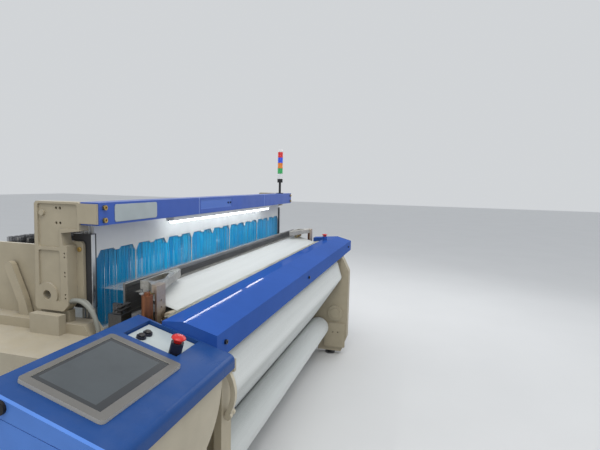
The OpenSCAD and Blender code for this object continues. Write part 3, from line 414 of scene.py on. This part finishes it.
# Switch plate: the rings and the base that stand up from it are black
RINGS_BELOW, RINGS_ABOVE = 0.0112, 0.2
buttons = painted("switch_plate", (0.43, 0.48, 0.48), 0.38, wear=None, vary=0.12, dusty=0.05)
rings = buttons.between(buttons.along(UPWARD), CONSOLE_UP - RINGS_BELOW, CONSOLE_UP + RINGS_ABOVE)
buttons.tint(rings, (0.012, 0.014, 0.03))
looks["buttons"] = buttons

# Bezel with paler side walls, and a screen whose active field is lighter than its border
bezel = plastic("bezel_grey", (0.135, 0.13, 0.12), 0.4, 0.15, 0.25)
wall = bezel.along(UPWARD, bezel.add("ShaderNodeNewGeometry").outputs["Normal"])
bezel.tint(bezel.ramp(wall, 0.6, 0.4), (0.50, 0.47, 0.40))
looks["bezel"] = bezel
FIELD_FROM, FIELD_TO, SCREEN_EDGE = 0.125, 0.289, 0.014
SCREEN_LO, SCREEN_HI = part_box("hmi_screen")
screen = Look("dark_screen", (0.020, 0.023, 0.026), 0.14, coat=0.5, spec=0.3)
up_slope = screen.between(screen.along(SLOPE), CONSOLE_ALONG + FIELD_FROM, CONSOLE_ALONG + FIELD_TO)
across = screen.inside((SCREEN_LO[0] + SCREEN_EDGE, None, None), (SCREEN_HI[0] - SCREEN_EDGE, None, None))
screen.tint(screen.both(up_slope, across), (0.050, 0.060, 0.066))
screen.vary(0.2, 12)
looks["screen"] = screen

# Bolts: yellow, but blackened on the covers and dark blue in the beam's recessed field
bolts = bare_metal("screw_heads", (0.72, 0.50, 0.17), 0.3, "even")
bolts.tint(bolts.inside((None, None, 0.70), (None, None, 0.90)), (0.05, 0.05, 0.055))
bolts.tint(bolts.inside((-0.12, None, 1.2), (-0.04, None, None)), (0.05, 0.06, 0.10))
looks["bolts"] = bolts

# The look of each CAD node
NODE_LOOKS = {
    "frame_left": "beige_cast", "frame_right": "beige_cast", "cross_girders": "beige_cast",
    "levelling_feet": "dark_steel", "column_left": "beige_cast", "column_right": "beige_cast",
    "heald_guides": "guide", "top_beam": "beam", "name_plate": "plate", "cover_bolts": "bolts",
    "lamp_housing": "white", "lamp_tube": "lamp", "tower_base": "black", "tower_lenses": "tower",
    "heald_frame_1": "heald_rail", "heald_frame_2": "heald_rail", "heald_frame_3": "heald_rail",
    "heald_frame_4": "heald_rail", "sley": "aluminium", "reed": "reed",
    "main_nozzle": "dark_steel", "temple_left": "temple_left", "temple_right": "temple_right",
    "temple_ring_left": "brass", "temple_ring_right": "brass", "cloth_rail": "rail",
    "take_up_roller": "grip", "press_roller": "rubber", "guide_roller": "dark_steel",
    "cloth": "cloth", "cloth_roll": "cloth", "roll_shaft": "steel", "roll_lever": "cream",
    "front_cover": "cover", "console_top": "console", "cabinet_body": "panel", "end_panel": "end",
    "cabinet_door": "end", "hmi_bezel": "bezel", "hmi_screen": "screen", "button_plate": "buttons",
    "start_button": "black", "stop_button": "black", "emergency_stop_left": "red",
    "emergency_stop_right": "red", "end_cover": "cover", "waste_hub": "plate",
    "side_cover": "panel", "shedding_box": "black_cover", "drive_housing": "panel",
    "main_motor": "motor", "motor_pulley": "dark_steel", "drive_pulley": "dark_steel",
    "drive_belt": "rubber", "warp_beam": "aluminium", "warp_yarn": "yarn", "back_roller": "steel",
    "tension_levers": "dark_steel", "drop_wires": "steel", "warp_sheet": "yarn"}
for node, key in NODE_LOOKS.items():
    obj = NODES[node]
    if not obj.material_slots:
        obj.data.materials.append(None)
    for material_slot in obj.material_slots:
        material_slot.material = looks[key].mat


# Pieces
def piece(name, verts, faces, look, body, node, smooth=False, replaces=()):
    """A mesh object in metres that rides on a body, or on none."""
    mesh = bpy.data.meshes.new(name)
    mesh.from_pydata([tuple(v) for v in verts], [], faces)
    mesh.validate()
    mesh.update()
    if smooth:
        mesh.shade_smooth()
    obj = bpy.data.objects.new(name, mesh)
    bpy.context.scene.collection.objects.link(obj)
    obj.data.materials.append(looks[look].mat)
    if body:
        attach(obj, body)
    if replaces:
        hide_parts(*replaces)
    return obj


def soften(obj, width, segments=2):
    """Bevelled edges with smooth shading between them."""
    mod = obj.modifiers.new("bevel", "BEVEL")
    mod.width = width
    mod.segments = segments
    mod.limit_method = "ANGLE"
    mod.angle_limit = math.radians(35)
    obj.data.shade_smooth()
    mod = obj.modifiers.new("normals", "WEIGHTED_NORMAL")
    mod.keep_sharp = True


def span(side, inner, outer):
    """The low and high X of something between two distances out from the middle."""
    return sorted((side * inner, side * outer))


class Build:
    """Collects vertices and faces for one piece."""

    def __init__(self):
        self.verts = []
        self.faces = []

    def add(self, verts, faces):
        n = len(self.verts)
        self.verts += [Vector(v) for v in verts]
        self.faces += [tuple(n + i for i in f) for f in faces]

    def box(self, lo, hi):
        (a, b, c), (d, e, f) = lo, hi
        self.add([(a, b, c), (d, b, c), (d, e, c), (a, e, c), (a, b, f), (d, b, f), (d, e, f), (a, e, f)],
                 [(0, 3, 2, 1), (4, 5, 6, 7), (0, 1, 5, 4), (1, 2, 6, 5), (2, 3, 7, 6), (3, 0, 4, 7)])

    def prism(self, profile, low, high):
        """Extrudes a profile of (y, z) points along X."""
        n = len(profile)
        self.add([(low, *p) for p in profile] + [(high, *p) for p in profile],
                 [tuple(range(n))[::-1], tuple(range(n, 2 * n))]
                 + [(i, (i + 1) % n, n + (i + 1) % n, n + i) for i in range(n)])

    def rings(self, rings, sides):
        """Joins rings of points into a tube with closed ends."""
        n = len(rings) // sides
        faces = []
        for i in range(n - 1):
            for k in range(sides):
                j = (k + 1) % sides
                faces.append((i * sides + k, i * sides + j, (i + 1) * sides + j, (i + 1) * sides + k))
        faces.append(tuple(range(sides))[::-1])
        faces.append(tuple((n - 1) * sides + k for k in range(sides)))
        self.add(rings, faces)

    def lathe(self, profile, start, sides):
        """Turns a profile of (along, radius) points round an X axis through start."""
        points = []
        for along, radius in profile:
            centre = Vector(start) + Vector((along, 0, 0))
            points += ring(centre, Vector((0, 1, 0)), Vector((0, 0, 1)), radius, sides)
        self.rings(points, sides)

    def tube(self, route, radius, sides):
        """A round bar along a route."""
        points = []
        across = None
        for i, centre in enumerate(route):
            ahead = (route[min(i + 1, len(route) - 1)] - route[max(i - 1, 0)]).normalized()
            if across is None:
                across = ahead.orthogonal().normalized()
            across = (across - ahead * across.dot(ahead)).normalized()
            points += ring(centre, across, ahead.cross(across), radius, sides)
        self.rings(points, sides)

    def piece(self, name, look, body, **rest):
        return piece(name, self.verts, self.faces, look, body, **rest)


def ring(centre, a, b, radius, sides):
    turns = [2 * math.pi * k / sides for k in range(sides)]
    return [centre + (a * math.cos(t) + b * math.sin(t)) * radius for t in turns]


def y_of(depth):
    """Depth behind the console's front edge in mm, to Y in metres."""
    return depth / 1000 - 0.85


# Heald frames
LOBES = 18
WIRES = 380
STAY_W = 0.012
FRAME_T = 0.012
BAND_T = 0.003
BAND_Z = 1.114
BAND_LAP = 0.02
LOW_RAIL_H = 0.055
WIRE_MARGIN = 0.016
heald_lo, heald_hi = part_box("heald_frame_1")
HEALD_X, HEALD_TOP, HEALD_LOW = heald_hi[0], heald_hi[2], heald_lo[2]
LOW_TOP = HEALD_LOW + LOW_RAIL_H
OPEN_X = HEALD_X - STAY_W
LOBE_W = 2 * OPEN_X / LOBES


def heald_band_edge():
    """Lower edge of the white band, with a deep point after every second lobe."""
    points = [(-HEALD_X, BAND_Z)]
    for k in range(LOBES + 1):
        x = -OPEN_X + k * LOBE_W
        deep = k % 2 == 0
        half = 0.19 * LOBE_W
        tip = 0.03 * LOBE_W if deep else 0.10 * LOBE_W
        drop = 0.026 if deep else 0.009
        for dx, dz in ((-half, 0), (-tip, -drop), (tip, -drop), (half, 0)):
            if -HEALD_X < x + dx < HEALD_X:
                points.append((x + dx, BAND_Z + dz))
    return points + [(HEALD_X, BAND_Z)]


def heald_rails(y):
    """The castellated band with the rail behind it, and the lower rail."""
    build = Build()
    edge = heald_band_edge()
    n = len(edge)
    verts = []
    for depth in (y, y + BAND_T):
        verts += [(x, depth, z) for x, z in edge] + [(x, depth, HEALD_TOP) for x, z in edge]
    faces = []
    for k in range(n - 1):
        faces += [(k, k + 1, n + k + 1, n + k), (2 * n + k + 1, 2 * n + k, 3 * n + k, 3 * n + k + 1),
                  (k + 1, k, 2 * n + k, 2 * n + k + 1), (n + k, n + k + 1, 3 * n + k + 1, 3 * n + k)]
    faces += [(0, n, 3 * n, 2 * n), (n - 1, 3 * n - 1, 4 * n - 1, 2 * n - 1)]
    build.add(verts, faces)
    build.box((-HEALD_X, y + BAND_T, BAND_Z + BAND_LAP), (HEALD_X, y + FRAME_T, HEALD_TOP))
    build.box((-HEALD_X, y, HEALD_LOW), (HEALD_X, y + FRAME_T, LOW_TOP))
    return build


def heald_stays(y):
    build = Build()
    for side in (-1, 1):
        low, high = span(side, OPEN_X, HEALD_X)
        build.box((low, y + 0.0005, LOW_TOP), (high, y + FRAME_T - 0.0005, BAND_Z + BAND_LAP))
    return build


def heald_wires(y):
    """Thin three-sided wires, each a little off its place."""
    build = Build()
    top, low = BAND_Z + 0.014, LOW_TOP - 0.002
    pitch = 2 * (HEALD_X - WIRE_MARGIN) / WIRES
    for k in range(WIRES):
        x = -HEALD_X + WIRE_MARGIN + (k + 0.5) * pitch + random.uniform(-0.0006, 0.0006)
        w = random.uniform(0.0007, 0.0016)
        lean = random.uniform(-0.0008, 0.0008)
        at = y + FRAME_T / 2 + random.uniform(-0.001, 0.001)
        build.add([(x - w, at, low), (x + w, at, low), (x + w + lean, at, top), (x - w + lean, at, top),
                   (x, at + 0.0008, low), (x + lean, at + 0.0008, top)],
                  [(0, 1, 2, 3), (1, 4, 5, 2), (4, 0, 3, 5), (3, 2, 5), (0, 4, 1)])
    return build


def heald_rods(y):
    """The two bars that the healds hang on, and slim upright ties."""
    build = Build()
    for low, high in ((BAND_Z + 0.004, BAND_Z + 0.018), (LOW_TOP + 0.004, LOW_TOP + 0.014)):
        build.box((-OPEN_X, y + 0.004, low), (OPEN_X, y + 0.0075, high))
    for k in range(2, LOBES, 4):
        x = -OPEN_X + k * LOBE_W
        build.box((x - 0.0022, y + 0.0005, LOW_TOP), (x + 0.0022, y + 0.0035, BAND_Z))
    return build


for i in range(1, 5):
    body = "heald_%d" % i
    frame_node = "heald_frame_%d" % i
    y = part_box(frame_node)[0][1]
    rails = heald_rails(y).piece("heald_rails_%d" % i, "heald_rail", body, node="heald_frame_1",
                                 replaces=(frame_node,))
    soften(rails, 0.0012, 1)
    stays = heald_stays(y).piece("heald_stays_%d" % i, "stay", body, node="heald_frame_1")
    soften(stays, 0.001, 1)
    heald_wires(y).piece("heald_wires_%d" % i, "heald", body, node="heald_frame_1")
    heald_rods(y).piece("heald_rods_%d" % i, "heald_rail", body, node="heald_frame_1")


# Reed: a band with chamfered top, end posts and separate dents
DENTS = 900
POST_W = 0.010
DENT_HALF = 0.0004
reed_lo, reed_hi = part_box("reed")
REED_X, REED_LOW, REED_TOP = reed_hi[0], reed_lo[2], reed_hi[2]
REED_FRONT, REED_BACK = reed_lo[1], reed_hi[1]
DENT_LOW, DENT_TOP = REED_LOW + 0.040, REED_TOP - 0.014
reed = Build()
reed.prism([(REED_FRONT - 0.001, DENT_TOP - 0.002), (REED_FRONT - 0.001, REED_TOP - 0.003),
            (REED_FRONT + 0.002, REED_TOP), (REED_BACK - 0.002, REED_TOP),
            (REED_BACK + 0.001, REED_TOP - 0.003), (REED_BACK + 0.001, DENT_TOP - 0.002)],
           -REED_X, REED_X)
reed.prism([(REED_FRONT, REED_LOW), (REED_FRONT, DENT_LOW + 0.002), (REED_BACK, DENT_LOW + 0.002),
            (REED_BACK, REED_LOW)], -REED_X, REED_X)
for x in (-REED_X, REED_X - POST_W):
    reed.box((x, REED_FRONT, DENT_LOW), (x + POST_W, REED_BACK, DENT_TOP))
reed.piece("reed_frame", "reed", "sley", node="reed", replaces=("reed",))
dents = Build()
for k in range(DENTS):
    x = -REED_X + POST_W + (k + 0.5) * 2 * (REED_X - POST_W) / DENTS
    verts = []
    for z in (DENT_LOW, DENT_TOP):
        verts += [(x - DENT_HALF, REED_FRONT + 0.001, z), (x + DENT_HALF, REED_FRONT + 0.001, z),
                  (x + DENT_HALF, REED_BACK - 0.001, z), (x - DENT_HALF, REED_BACK - 0.001, z)]
    dents.add(verts, [(0, 1, 5, 4), (1, 2, 6, 5), (2, 3, 7, 6), (3, 0, 4, 7)])
dents.piece("reed_dents", "reed", "sley", node="reed")


# Paths of (depth, height) in mm, round circles given by centre and radius
def polar(centre, radius, angle):
    a = math.radians(angle)
    return (centre[0] + radius * math.cos(a), centre[1] + radius * math.sin(a))


def bend(centre, radius, a0, a1, n):
    return [polar(centre, radius, a0 + (a1 - a0) * i / n) for i in range(n + 1)]


def between(p, q, shares):
    return [(p[0] + (q[0] - p[0]) * t, p[1] + (q[1] - p[1]) * t) for t in shares]


def heading(p, q):
    return math.degrees(math.atan2(q[1] - p[1], q[0] - p[0]))


def dist(p, q):
    return math.hypot(q[0] - p[0], q[1] - p[1])


def outer_angle(c1, r1, c2, r2):
    """Where a line that touches two circles on the same side leaves the first."""
    return heading(c1, c2) - math.degrees(math.acos((r1 - r2) / dist(c1, c2)))


def cross_angle(c1, r1, c2, r2):
    """Where a line that passes between two circles leaves the first."""
    return heading(c1, c2) - math.degrees(math.acos((r1 + r2) / dist(c1, c2)))


# Cloth: from the fell over the breast rail's nose and round the rollers to the cloth roll
LAYER = 1.1
FELL, NOSE = (442, 963), (291, 914)
TAKE, GUIDE, ROLL_AT = (215, 790), (92, 650), (231, 227)
NOSE_R, TAKE_R, PRESS_R, GUIDE_R, ROLL_R = 3, 75, 28, 34, 80
NIP = 2.2
PRESS_ANGLE = 202
PRESS = polar(TAKE, TAKE_R + PRESS_R + NIP, PRESS_ANGLE)
CLOTH_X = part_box("cloth")[1][0]


def cloth_path():
    at_press = heading(TAKE, PRESS)
    off_press = outer_angle(PRESS, PRESS_R + LAYER, GUIDE, GUIDE_R + LAYER) + 360
    off_guide = cross_angle(GUIDE, GUIDE_R + LAYER, ROLL_AT, ROLL_R + LAYER) + 360
    off_nose = cross_angle(NOSE, NOSE_R + LAYER, TAKE, TAKE_R + LAYER) + 360
    on_nose = heading(NOSE, FELL) + 90
    path = [FELL] + between(FELL, polar(NOSE, NOSE_R + LAYER, on_nose), (0.2, 0.4, 0.6, 0.8))
    path += bend(NOSE, NOSE_R + LAYER, on_nose, off_nose, 6)
    path += bend(TAKE, TAKE_R + LAYER, off_nose - 180, at_press, 30)
    path += bend(PRESS, PRESS_R + LAYER, at_press + 180, off_press, 16)[1:]
    path += bend(GUIDE, GUIDE_R + LAYER, off_press, off_guide, 10)
    on_roll = polar(ROLL_AT, ROLL_R + LAYER, off_guide - 180)
    path += between(path[-1], on_roll, (0.12, 0.24, 0.36, 0.48, 0.6, 0.72, 0.84, 0.94))
    return path + [on_roll]


def sheet(path, half, columns, thick):
    """A thin closed sheet along a path."""
    build = Build()
    n = len(path)
    row = columns + 1
    normals = []
    for i in range(n):
        a, b = path[max(i - 1, 0)], path[min(i + 1, n - 1)]
        v = Vector((b[0] - a[0], b[1] - a[1])).normalized()
        normals.append((-v[1], v[0]))
    xs = [-half + 2 * half * j / columns for j in range(row)]
    for h in (thick / 2, -thick / 2):
        verts = [(x, y_of(p[0] + m[0] * h), (p[1] + m[1] * h) / 1000)
                 for p, m in zip(path, normals) for x in xs]
        faces = [(i * row + j, i * row + j + 1, (i + 1) * row + j + 1, (i + 1) * row + j)
                 for i in range(n - 1) for j in range(columns)]
        if h < 0:
            faces = [f[::-1] for f in faces]
        build.add(verts, faces)
    below = n * row
    last = (n - 1) * row
    rim = [(i * row, (i + 1) * row) for i in range(n - 1)]
    rim += [((i + 1) * row + columns, i * row + columns) for i in range(n - 1)]
    rim += [(j + 1, j) for j in range(columns)]
    rim += [(last + j, last + j + 1) for j in range(columns)]
    build.faces += [(a, b, below + b, below + a) for a, b in rim]
    return build


path = cloth_path()
cloth = sheet(path, CLOTH_X, 60, 1.2).piece("cloth_web", "cloth", "root", node="cloth", smooth=True,
                                            replaces=("cloth",))

# Cloth roll: turns that show at its ends, and a slightly uneven outside
CORE_R, WOUND_R, TURNS = 0.034, 0.0803, 22
profile = [(0, CORE_R)] + [(0.0004 * (k % 2), CORE_R + 0.046 * k / TURNS) for k in range(1, TURNS)]
profile += [(0.0015, WOUND_R - 0.0005), (0.004, WOUND_R)]
profile += [(0.02 + 0.05 * k, WOUND_R + 0.0006 * math.sin(1.7 * k) * math.sin(0.6 * k))
            for k in range(40)]
left_half = [(a - CLOTH_X, r) for a, r in profile if a - CLOTH_X < 0]
wound = Build()
wound.lathe(left_half + [(-a, r) for a, r in reversed(left_half)],
            (0, y_of(ROLL_AT[0]), ROLL_AT[1] / 1000), 96)
wound.piece("cloth_package", "cloth", "cloth_roll", node="cloth_roll", smooth=True, replaces=("cloth_roll",))

# Warp: single ends from the beam up to the back roller, and from there to the fell
ENDS = 560
WARP_X = 0.998
WARP_AT, WARP_R = (1300, 430), 330
BACK_AT, BACK_R = (1480, 980), 45
SHED_AT = (678, 965)
FREE_TO = 1400
SIXTHS = [i / 6 for i in range(6)]
WARP_RISE = (BACK_AT[1] + BACK_R - SHED_AT[1]) / (BACK_AT[0] - SHED_AT[0])


def warp_ends(name, path, **rest):
    """Flat yarns side by side along a path; only the free span lies a little uneven."""
    build = Build()
    for k in range(ENDS):
        x = -WARP_X + 2 * WARP_X * (k + 0.5) / ENDS + random.uniform(-0.0006, 0.0006)
        lift = random.uniform(-0.6, 0.6)
        verts = []
        for d, z in path:
            h = lift if SHED_AT[0] <= d < FREE_TO else 0
            verts += [(x - 0.0006, y_of(d), (z + h) / 1000), (x + 0.0006, y_of(d), (z + h) / 1000)]
        build.add(verts, [(2 * i, 2 * i + 1, 2 * i + 3, 2 * i + 2) for i in range(len(path) - 1)])
    return build.piece(name, "yarn", None, node="warp_sheet", **rest)


leave = outer_angle(WARP_AT, WARP_R + LAYER, BACK_AT, BACK_R + LAYER)
meet = outer_angle(BACK_AT, BACK_R + LAYER, SHED_AT, 0) + 360
on_beam = polar(WARP_AT, WARP_R + LAYER, leave)
on_roller = polar(BACK_AT, BACK_R + LAYER, leave)
off_roller = polar(BACK_AT, BACK_R + LAYER, meet)
top_path = bend(BACK_AT, BACK_R + LAYER, leave, meet, 8)[:-1] + between(off_roller, SHED_AT, SIXTHS)
top_path += [SHED_AT, (600, 964.2), FELL]
top_span = warp_ends("warp_ends", top_path, replaces=("warp_sheet",))
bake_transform(top_span)
back_span = warp_ends("warp_back_span", between(on_beam, on_roller, SIXTHS) + [on_roller])
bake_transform(back_span)

# Yarn on the warp beam, between the flanges
FLANGE_OUT, FLANGE_W = 0.004, 0.018
YARN_X = CLOTH_X + FLANGE_OUT - FLANGE_W
YARN_CORE_R, YARN_EDGE_R, YARN_R = 0.09, 0.325, 0.3298
STEPS = 60
profile = [(-YARN_X, YARN_CORE_R), (-YARN_X, YARN_EDGE_R), (-YARN_X + 0.004, YARN_R)]
profile += [(-YARN_X + 0.01 + (2 * YARN_X - 0.02) * k / STEPS,
             YARN_R + 0.0007 * math.sin(1.9 * k) * math.sin(0.37 * k)) for k in range(STEPS + 1)]
profile += [(YARN_X - 0.004, YARN_R), (YARN_X, YARN_EDGE_R), (YARN_X, YARN_CORE_R)]
yarn = Build()
yarn.lathe(profile, (0, y_of(WARP_AT[0]), WARP_AT[1] / 1000), 128)
yarn.piece("warp_package", "yarn", "warp_beam", node="warp_yarn", smooth=True, replaces=("warp_yarn",))

# Drop wires: contact bars and thin steel droppers that ride on the warp
DROP_ROWS = (905, 955, 1005, 1055)
DROPPERS = 620
DROP_BAR_Z = 1.112
DROP_EDGE = 0.004
DROP_X = CLOTH_X - DROP_EDGE
SIDE_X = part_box("drop_wires")[1][0]
bars, droppers = Build(), Build()
for d in DROP_ROWS:
    y = y_of(d)
    front, back = y - 0.0055, y + 0.0055
    bars.box((-SIDE_X, y - 0.003, DROP_BAR_Z - 0.012), (SIDE_X, y + 0.003, DROP_BAR_Z + 0.008))
    low = (SHED_AT[1] + (d - SHED_AT[0]) * WARP_RISE) / 1000 - 0.022
    for k in range(DROPPERS):
        x = -DROP_X + (k + 0.5) * 2 * DROP_X / DROPPERS + random.uniform(-0.0007, 0.0007)
        lean = random.uniform(-0.0012, 0.0012)
        top = DROP_BAR_Z + 0.026 + random.uniform(0, 0.003)
        droppers.add([(x - 0.0006, front, low), (x + 0.0006, back, low),
                      (x + lean - 0.0006, front, top), (x + lean + 0.0006, back, top)], [(0, 1, 3, 2)])
bars.piece("contact_bars", "dark_steel", "root", node="drop_wires", replaces=("drop_wires",))
droppers.piece("droppers", "steel", "root", node="drop_wires")

# Bright strips beside the healds, yellow screws and the door's lock
COLUMN_IN, FRAME_IN, FRAME_W = 1.086, 1.055, 0.075
strips = Build()
for side in (-1, 1):
    low, high = span(side, FRAME_IN + 0.001, COLUMN_IN - 0.013)
    strips.box((low, y_of(596), 0.906), (high, y_of(600) + 0.0005, 1.179))
soften(strips.piece("guide_strips", "stay", "root", node="heald_guides"), 0.0012)

screws = Build()
for side in (-1, 1):
    screws.lathe([(0, 0.0085), (side * 0.004, 0.0085), (side * 0.0055, 0.0065)],
                 (side * COLUMN_IN, y_of(638), 1.125), 20)
    for d, z in ((90, 0.700), (150, 0.640)):
        screws.lathe([(0, 0.008), (side * 0.004, 0.008), (side * 0.005, 0.006)],
                     (side * (FRAME_IN + FRAME_W), y_of(d), z), 20)
screws.piece("yellow_screws", "gold", "root", node="cover_bolts")

lock = Build()
lock.lathe([(-0.0005, 0.0095), (-0.004, 0.0095), (-0.005, 0.008)],
           (CABINET_X + 0.004, y_of(94), 0.480), 24)
lock.piece("door_lock", "stay", "cabinet_door", node="cabinet_door")

# Air hoses that arch from the column's front down to the side frame: half width, rise and radius
HOSES = ((0.090, 0.126, 0.0085), (0.076, 0.120, 0.0055), (0.064, 0.122, 0.0045))
HOSE_X, HOSE_STEP = -1.118, 0.013
HOSE_DEPTH, HOSE_Z = 625, 0.8195
COLUMN_BEHIND = 0.031
for i, (half, rise, radius) in enumerate(HOSES):
    first = math.acos(COLUMN_BEHIND / half)
    route = []
    for k in range(25):
        a = first + (math.pi - first) * k / 24
        route.append(Vector((HOSE_X + HOSE_STEP * i, y_of(HOSE_DEPTH) + half * math.cos(a),
                             HOSE_Z + rise * math.sin(a))))
    hose = Build()
    hose.tube(route, radius, 14)
    obj = hose.piece("air_hose_%d" % (i + 1), "hose", "root", node="drive_housing", smooth=True)

# White bow and yellow latch on the shedding unit's end
BOX_X = CAD_HI[0]
BOW_AT, BOW_FROM, BOW_TO = (440, 330), 165, 118
bow = bend(BOW_AT, 152, BOW_FROM, BOW_TO, 12) + bend(BOW_AT, 165, BOW_FROM, BOW_TO, 12)[::-1]
marks = Build()
marks.prism([(y_of(d), z / 1000) for d, z in bow], BOX_X, BOX_X + 0.0015)
marks.piece("white_bow", "white", "root", node="shedding_box")
latch = Build()
latch.box((BOX_X, y_of(392), 0.196), (BOX_X + 0.006, y_of(470), 0.222))
soften(latch.piece("yellow_latch", "latch", "root", node="shedding_box"), 0.003)


# Studio floor
FLOOR = 30
mesh = bpy.data.meshes.new("floor")
mesh.from_pydata([(-FLOOR, -FLOOR, 0), (FLOOR, -FLOOR, 0), (FLOOR, FLOOR, 0), (-FLOOR, FLOOR, 0)], [],
                 [(0, 1, 2, 3)])
floor = bpy.data.objects.new("floor", mesh)
bpy.context.scene.collection.objects.link(floor)
floor_look = Look("floor", (0.66, 0.66, 0.65), 0.75, spec=0.2)
floor_look.vary(0.03, 1.3)
floor_look.bump(floor_look.noise(40, 3), 0.05)
mesh.materials.append(floor_look.mat)

# World: one light for the object, and a pale background that the camera, metal and glass see
world = bpy.data.worlds.new("studio")
bpy.context.scene.world = world
world.use_nodes = True
nodes, links = world.node_tree.nodes, world.node_tree.links
light = nodes["Background"]
light.inputs["Color"].default_value = (0.86, 0.90, 0.96, 1)
light.inputs["Strength"].default_value = 0.80
shown = nodes.new("ShaderNodeBackground")
shown.inputs["Color"].default_value = (0.64, 0.66, 0.68, 1)
shown.inputs["Strength"].default_value = 1.0
rays = nodes.new("ShaderNodeLightPath").outputs
seen = rays["Is Camera Ray"]
for name in ("Is Glossy Ray", "Is Transmission Ray"):
    either = nodes.new("ShaderNodeMath")
    either.operation = "MAXIMUM"
    links.new(seen, either.inputs[0])
    links.new(rays[name], either.inputs[1])
    seen = either.outputs[0]
mix = nodes.new("ShaderNodeMixShader")
links.new(seen, mix.inputs[0])
links.new(light.outputs[0], mix.inputs[1])
links.new(shown.outputs[0], mix.inputs[2])
links.new(mix.outputs[0], nodes["World Output"].inputs["Surface"])


def soft_light(name, at, aim, size, power, color=(1, 1, 1)):
    data = bpy.data.lights.new(name, "AREA")
    data.shape = "RECTANGLE"
    data.size, data.size_y = size
    data.energy = power
    data.color = color
    obj = bpy.data.objects.new(name, data)
    obj.location = at
    obj.rotation_euler = (Vector(aim) - Vector(at)).to_track_quat("-Z", "Y").to_euler()
    bpy.context.scene.collection.objects.link(obj)
    return obj


soft_light("key", (-2.2, -1.6, 4.6), (0, 0, 0.7), (3.0, 2.4), 100, (1.0, 0.98, 0.95))
soft_light("fill", (3.4, -2.2, 3.2), (0, 0, 0.8), (2.5, 2.5), 36, (0.95, 0.97, 1.0))
soft_light("back", (0.5, 4.0, 3.6), (0, 0, 0.9), (4.0, 1.5), 60)
# Ceiling strip that the glossy front cover mirrors as a white streak
strip = soft_light("strip", (3.4, 0.44, 3.0), (3.4, 0.44, 0), (3.0, 0.05), 14)
strip.visible_camera = False

bpy.context.scene.view_settings.view_transform = "Standard"
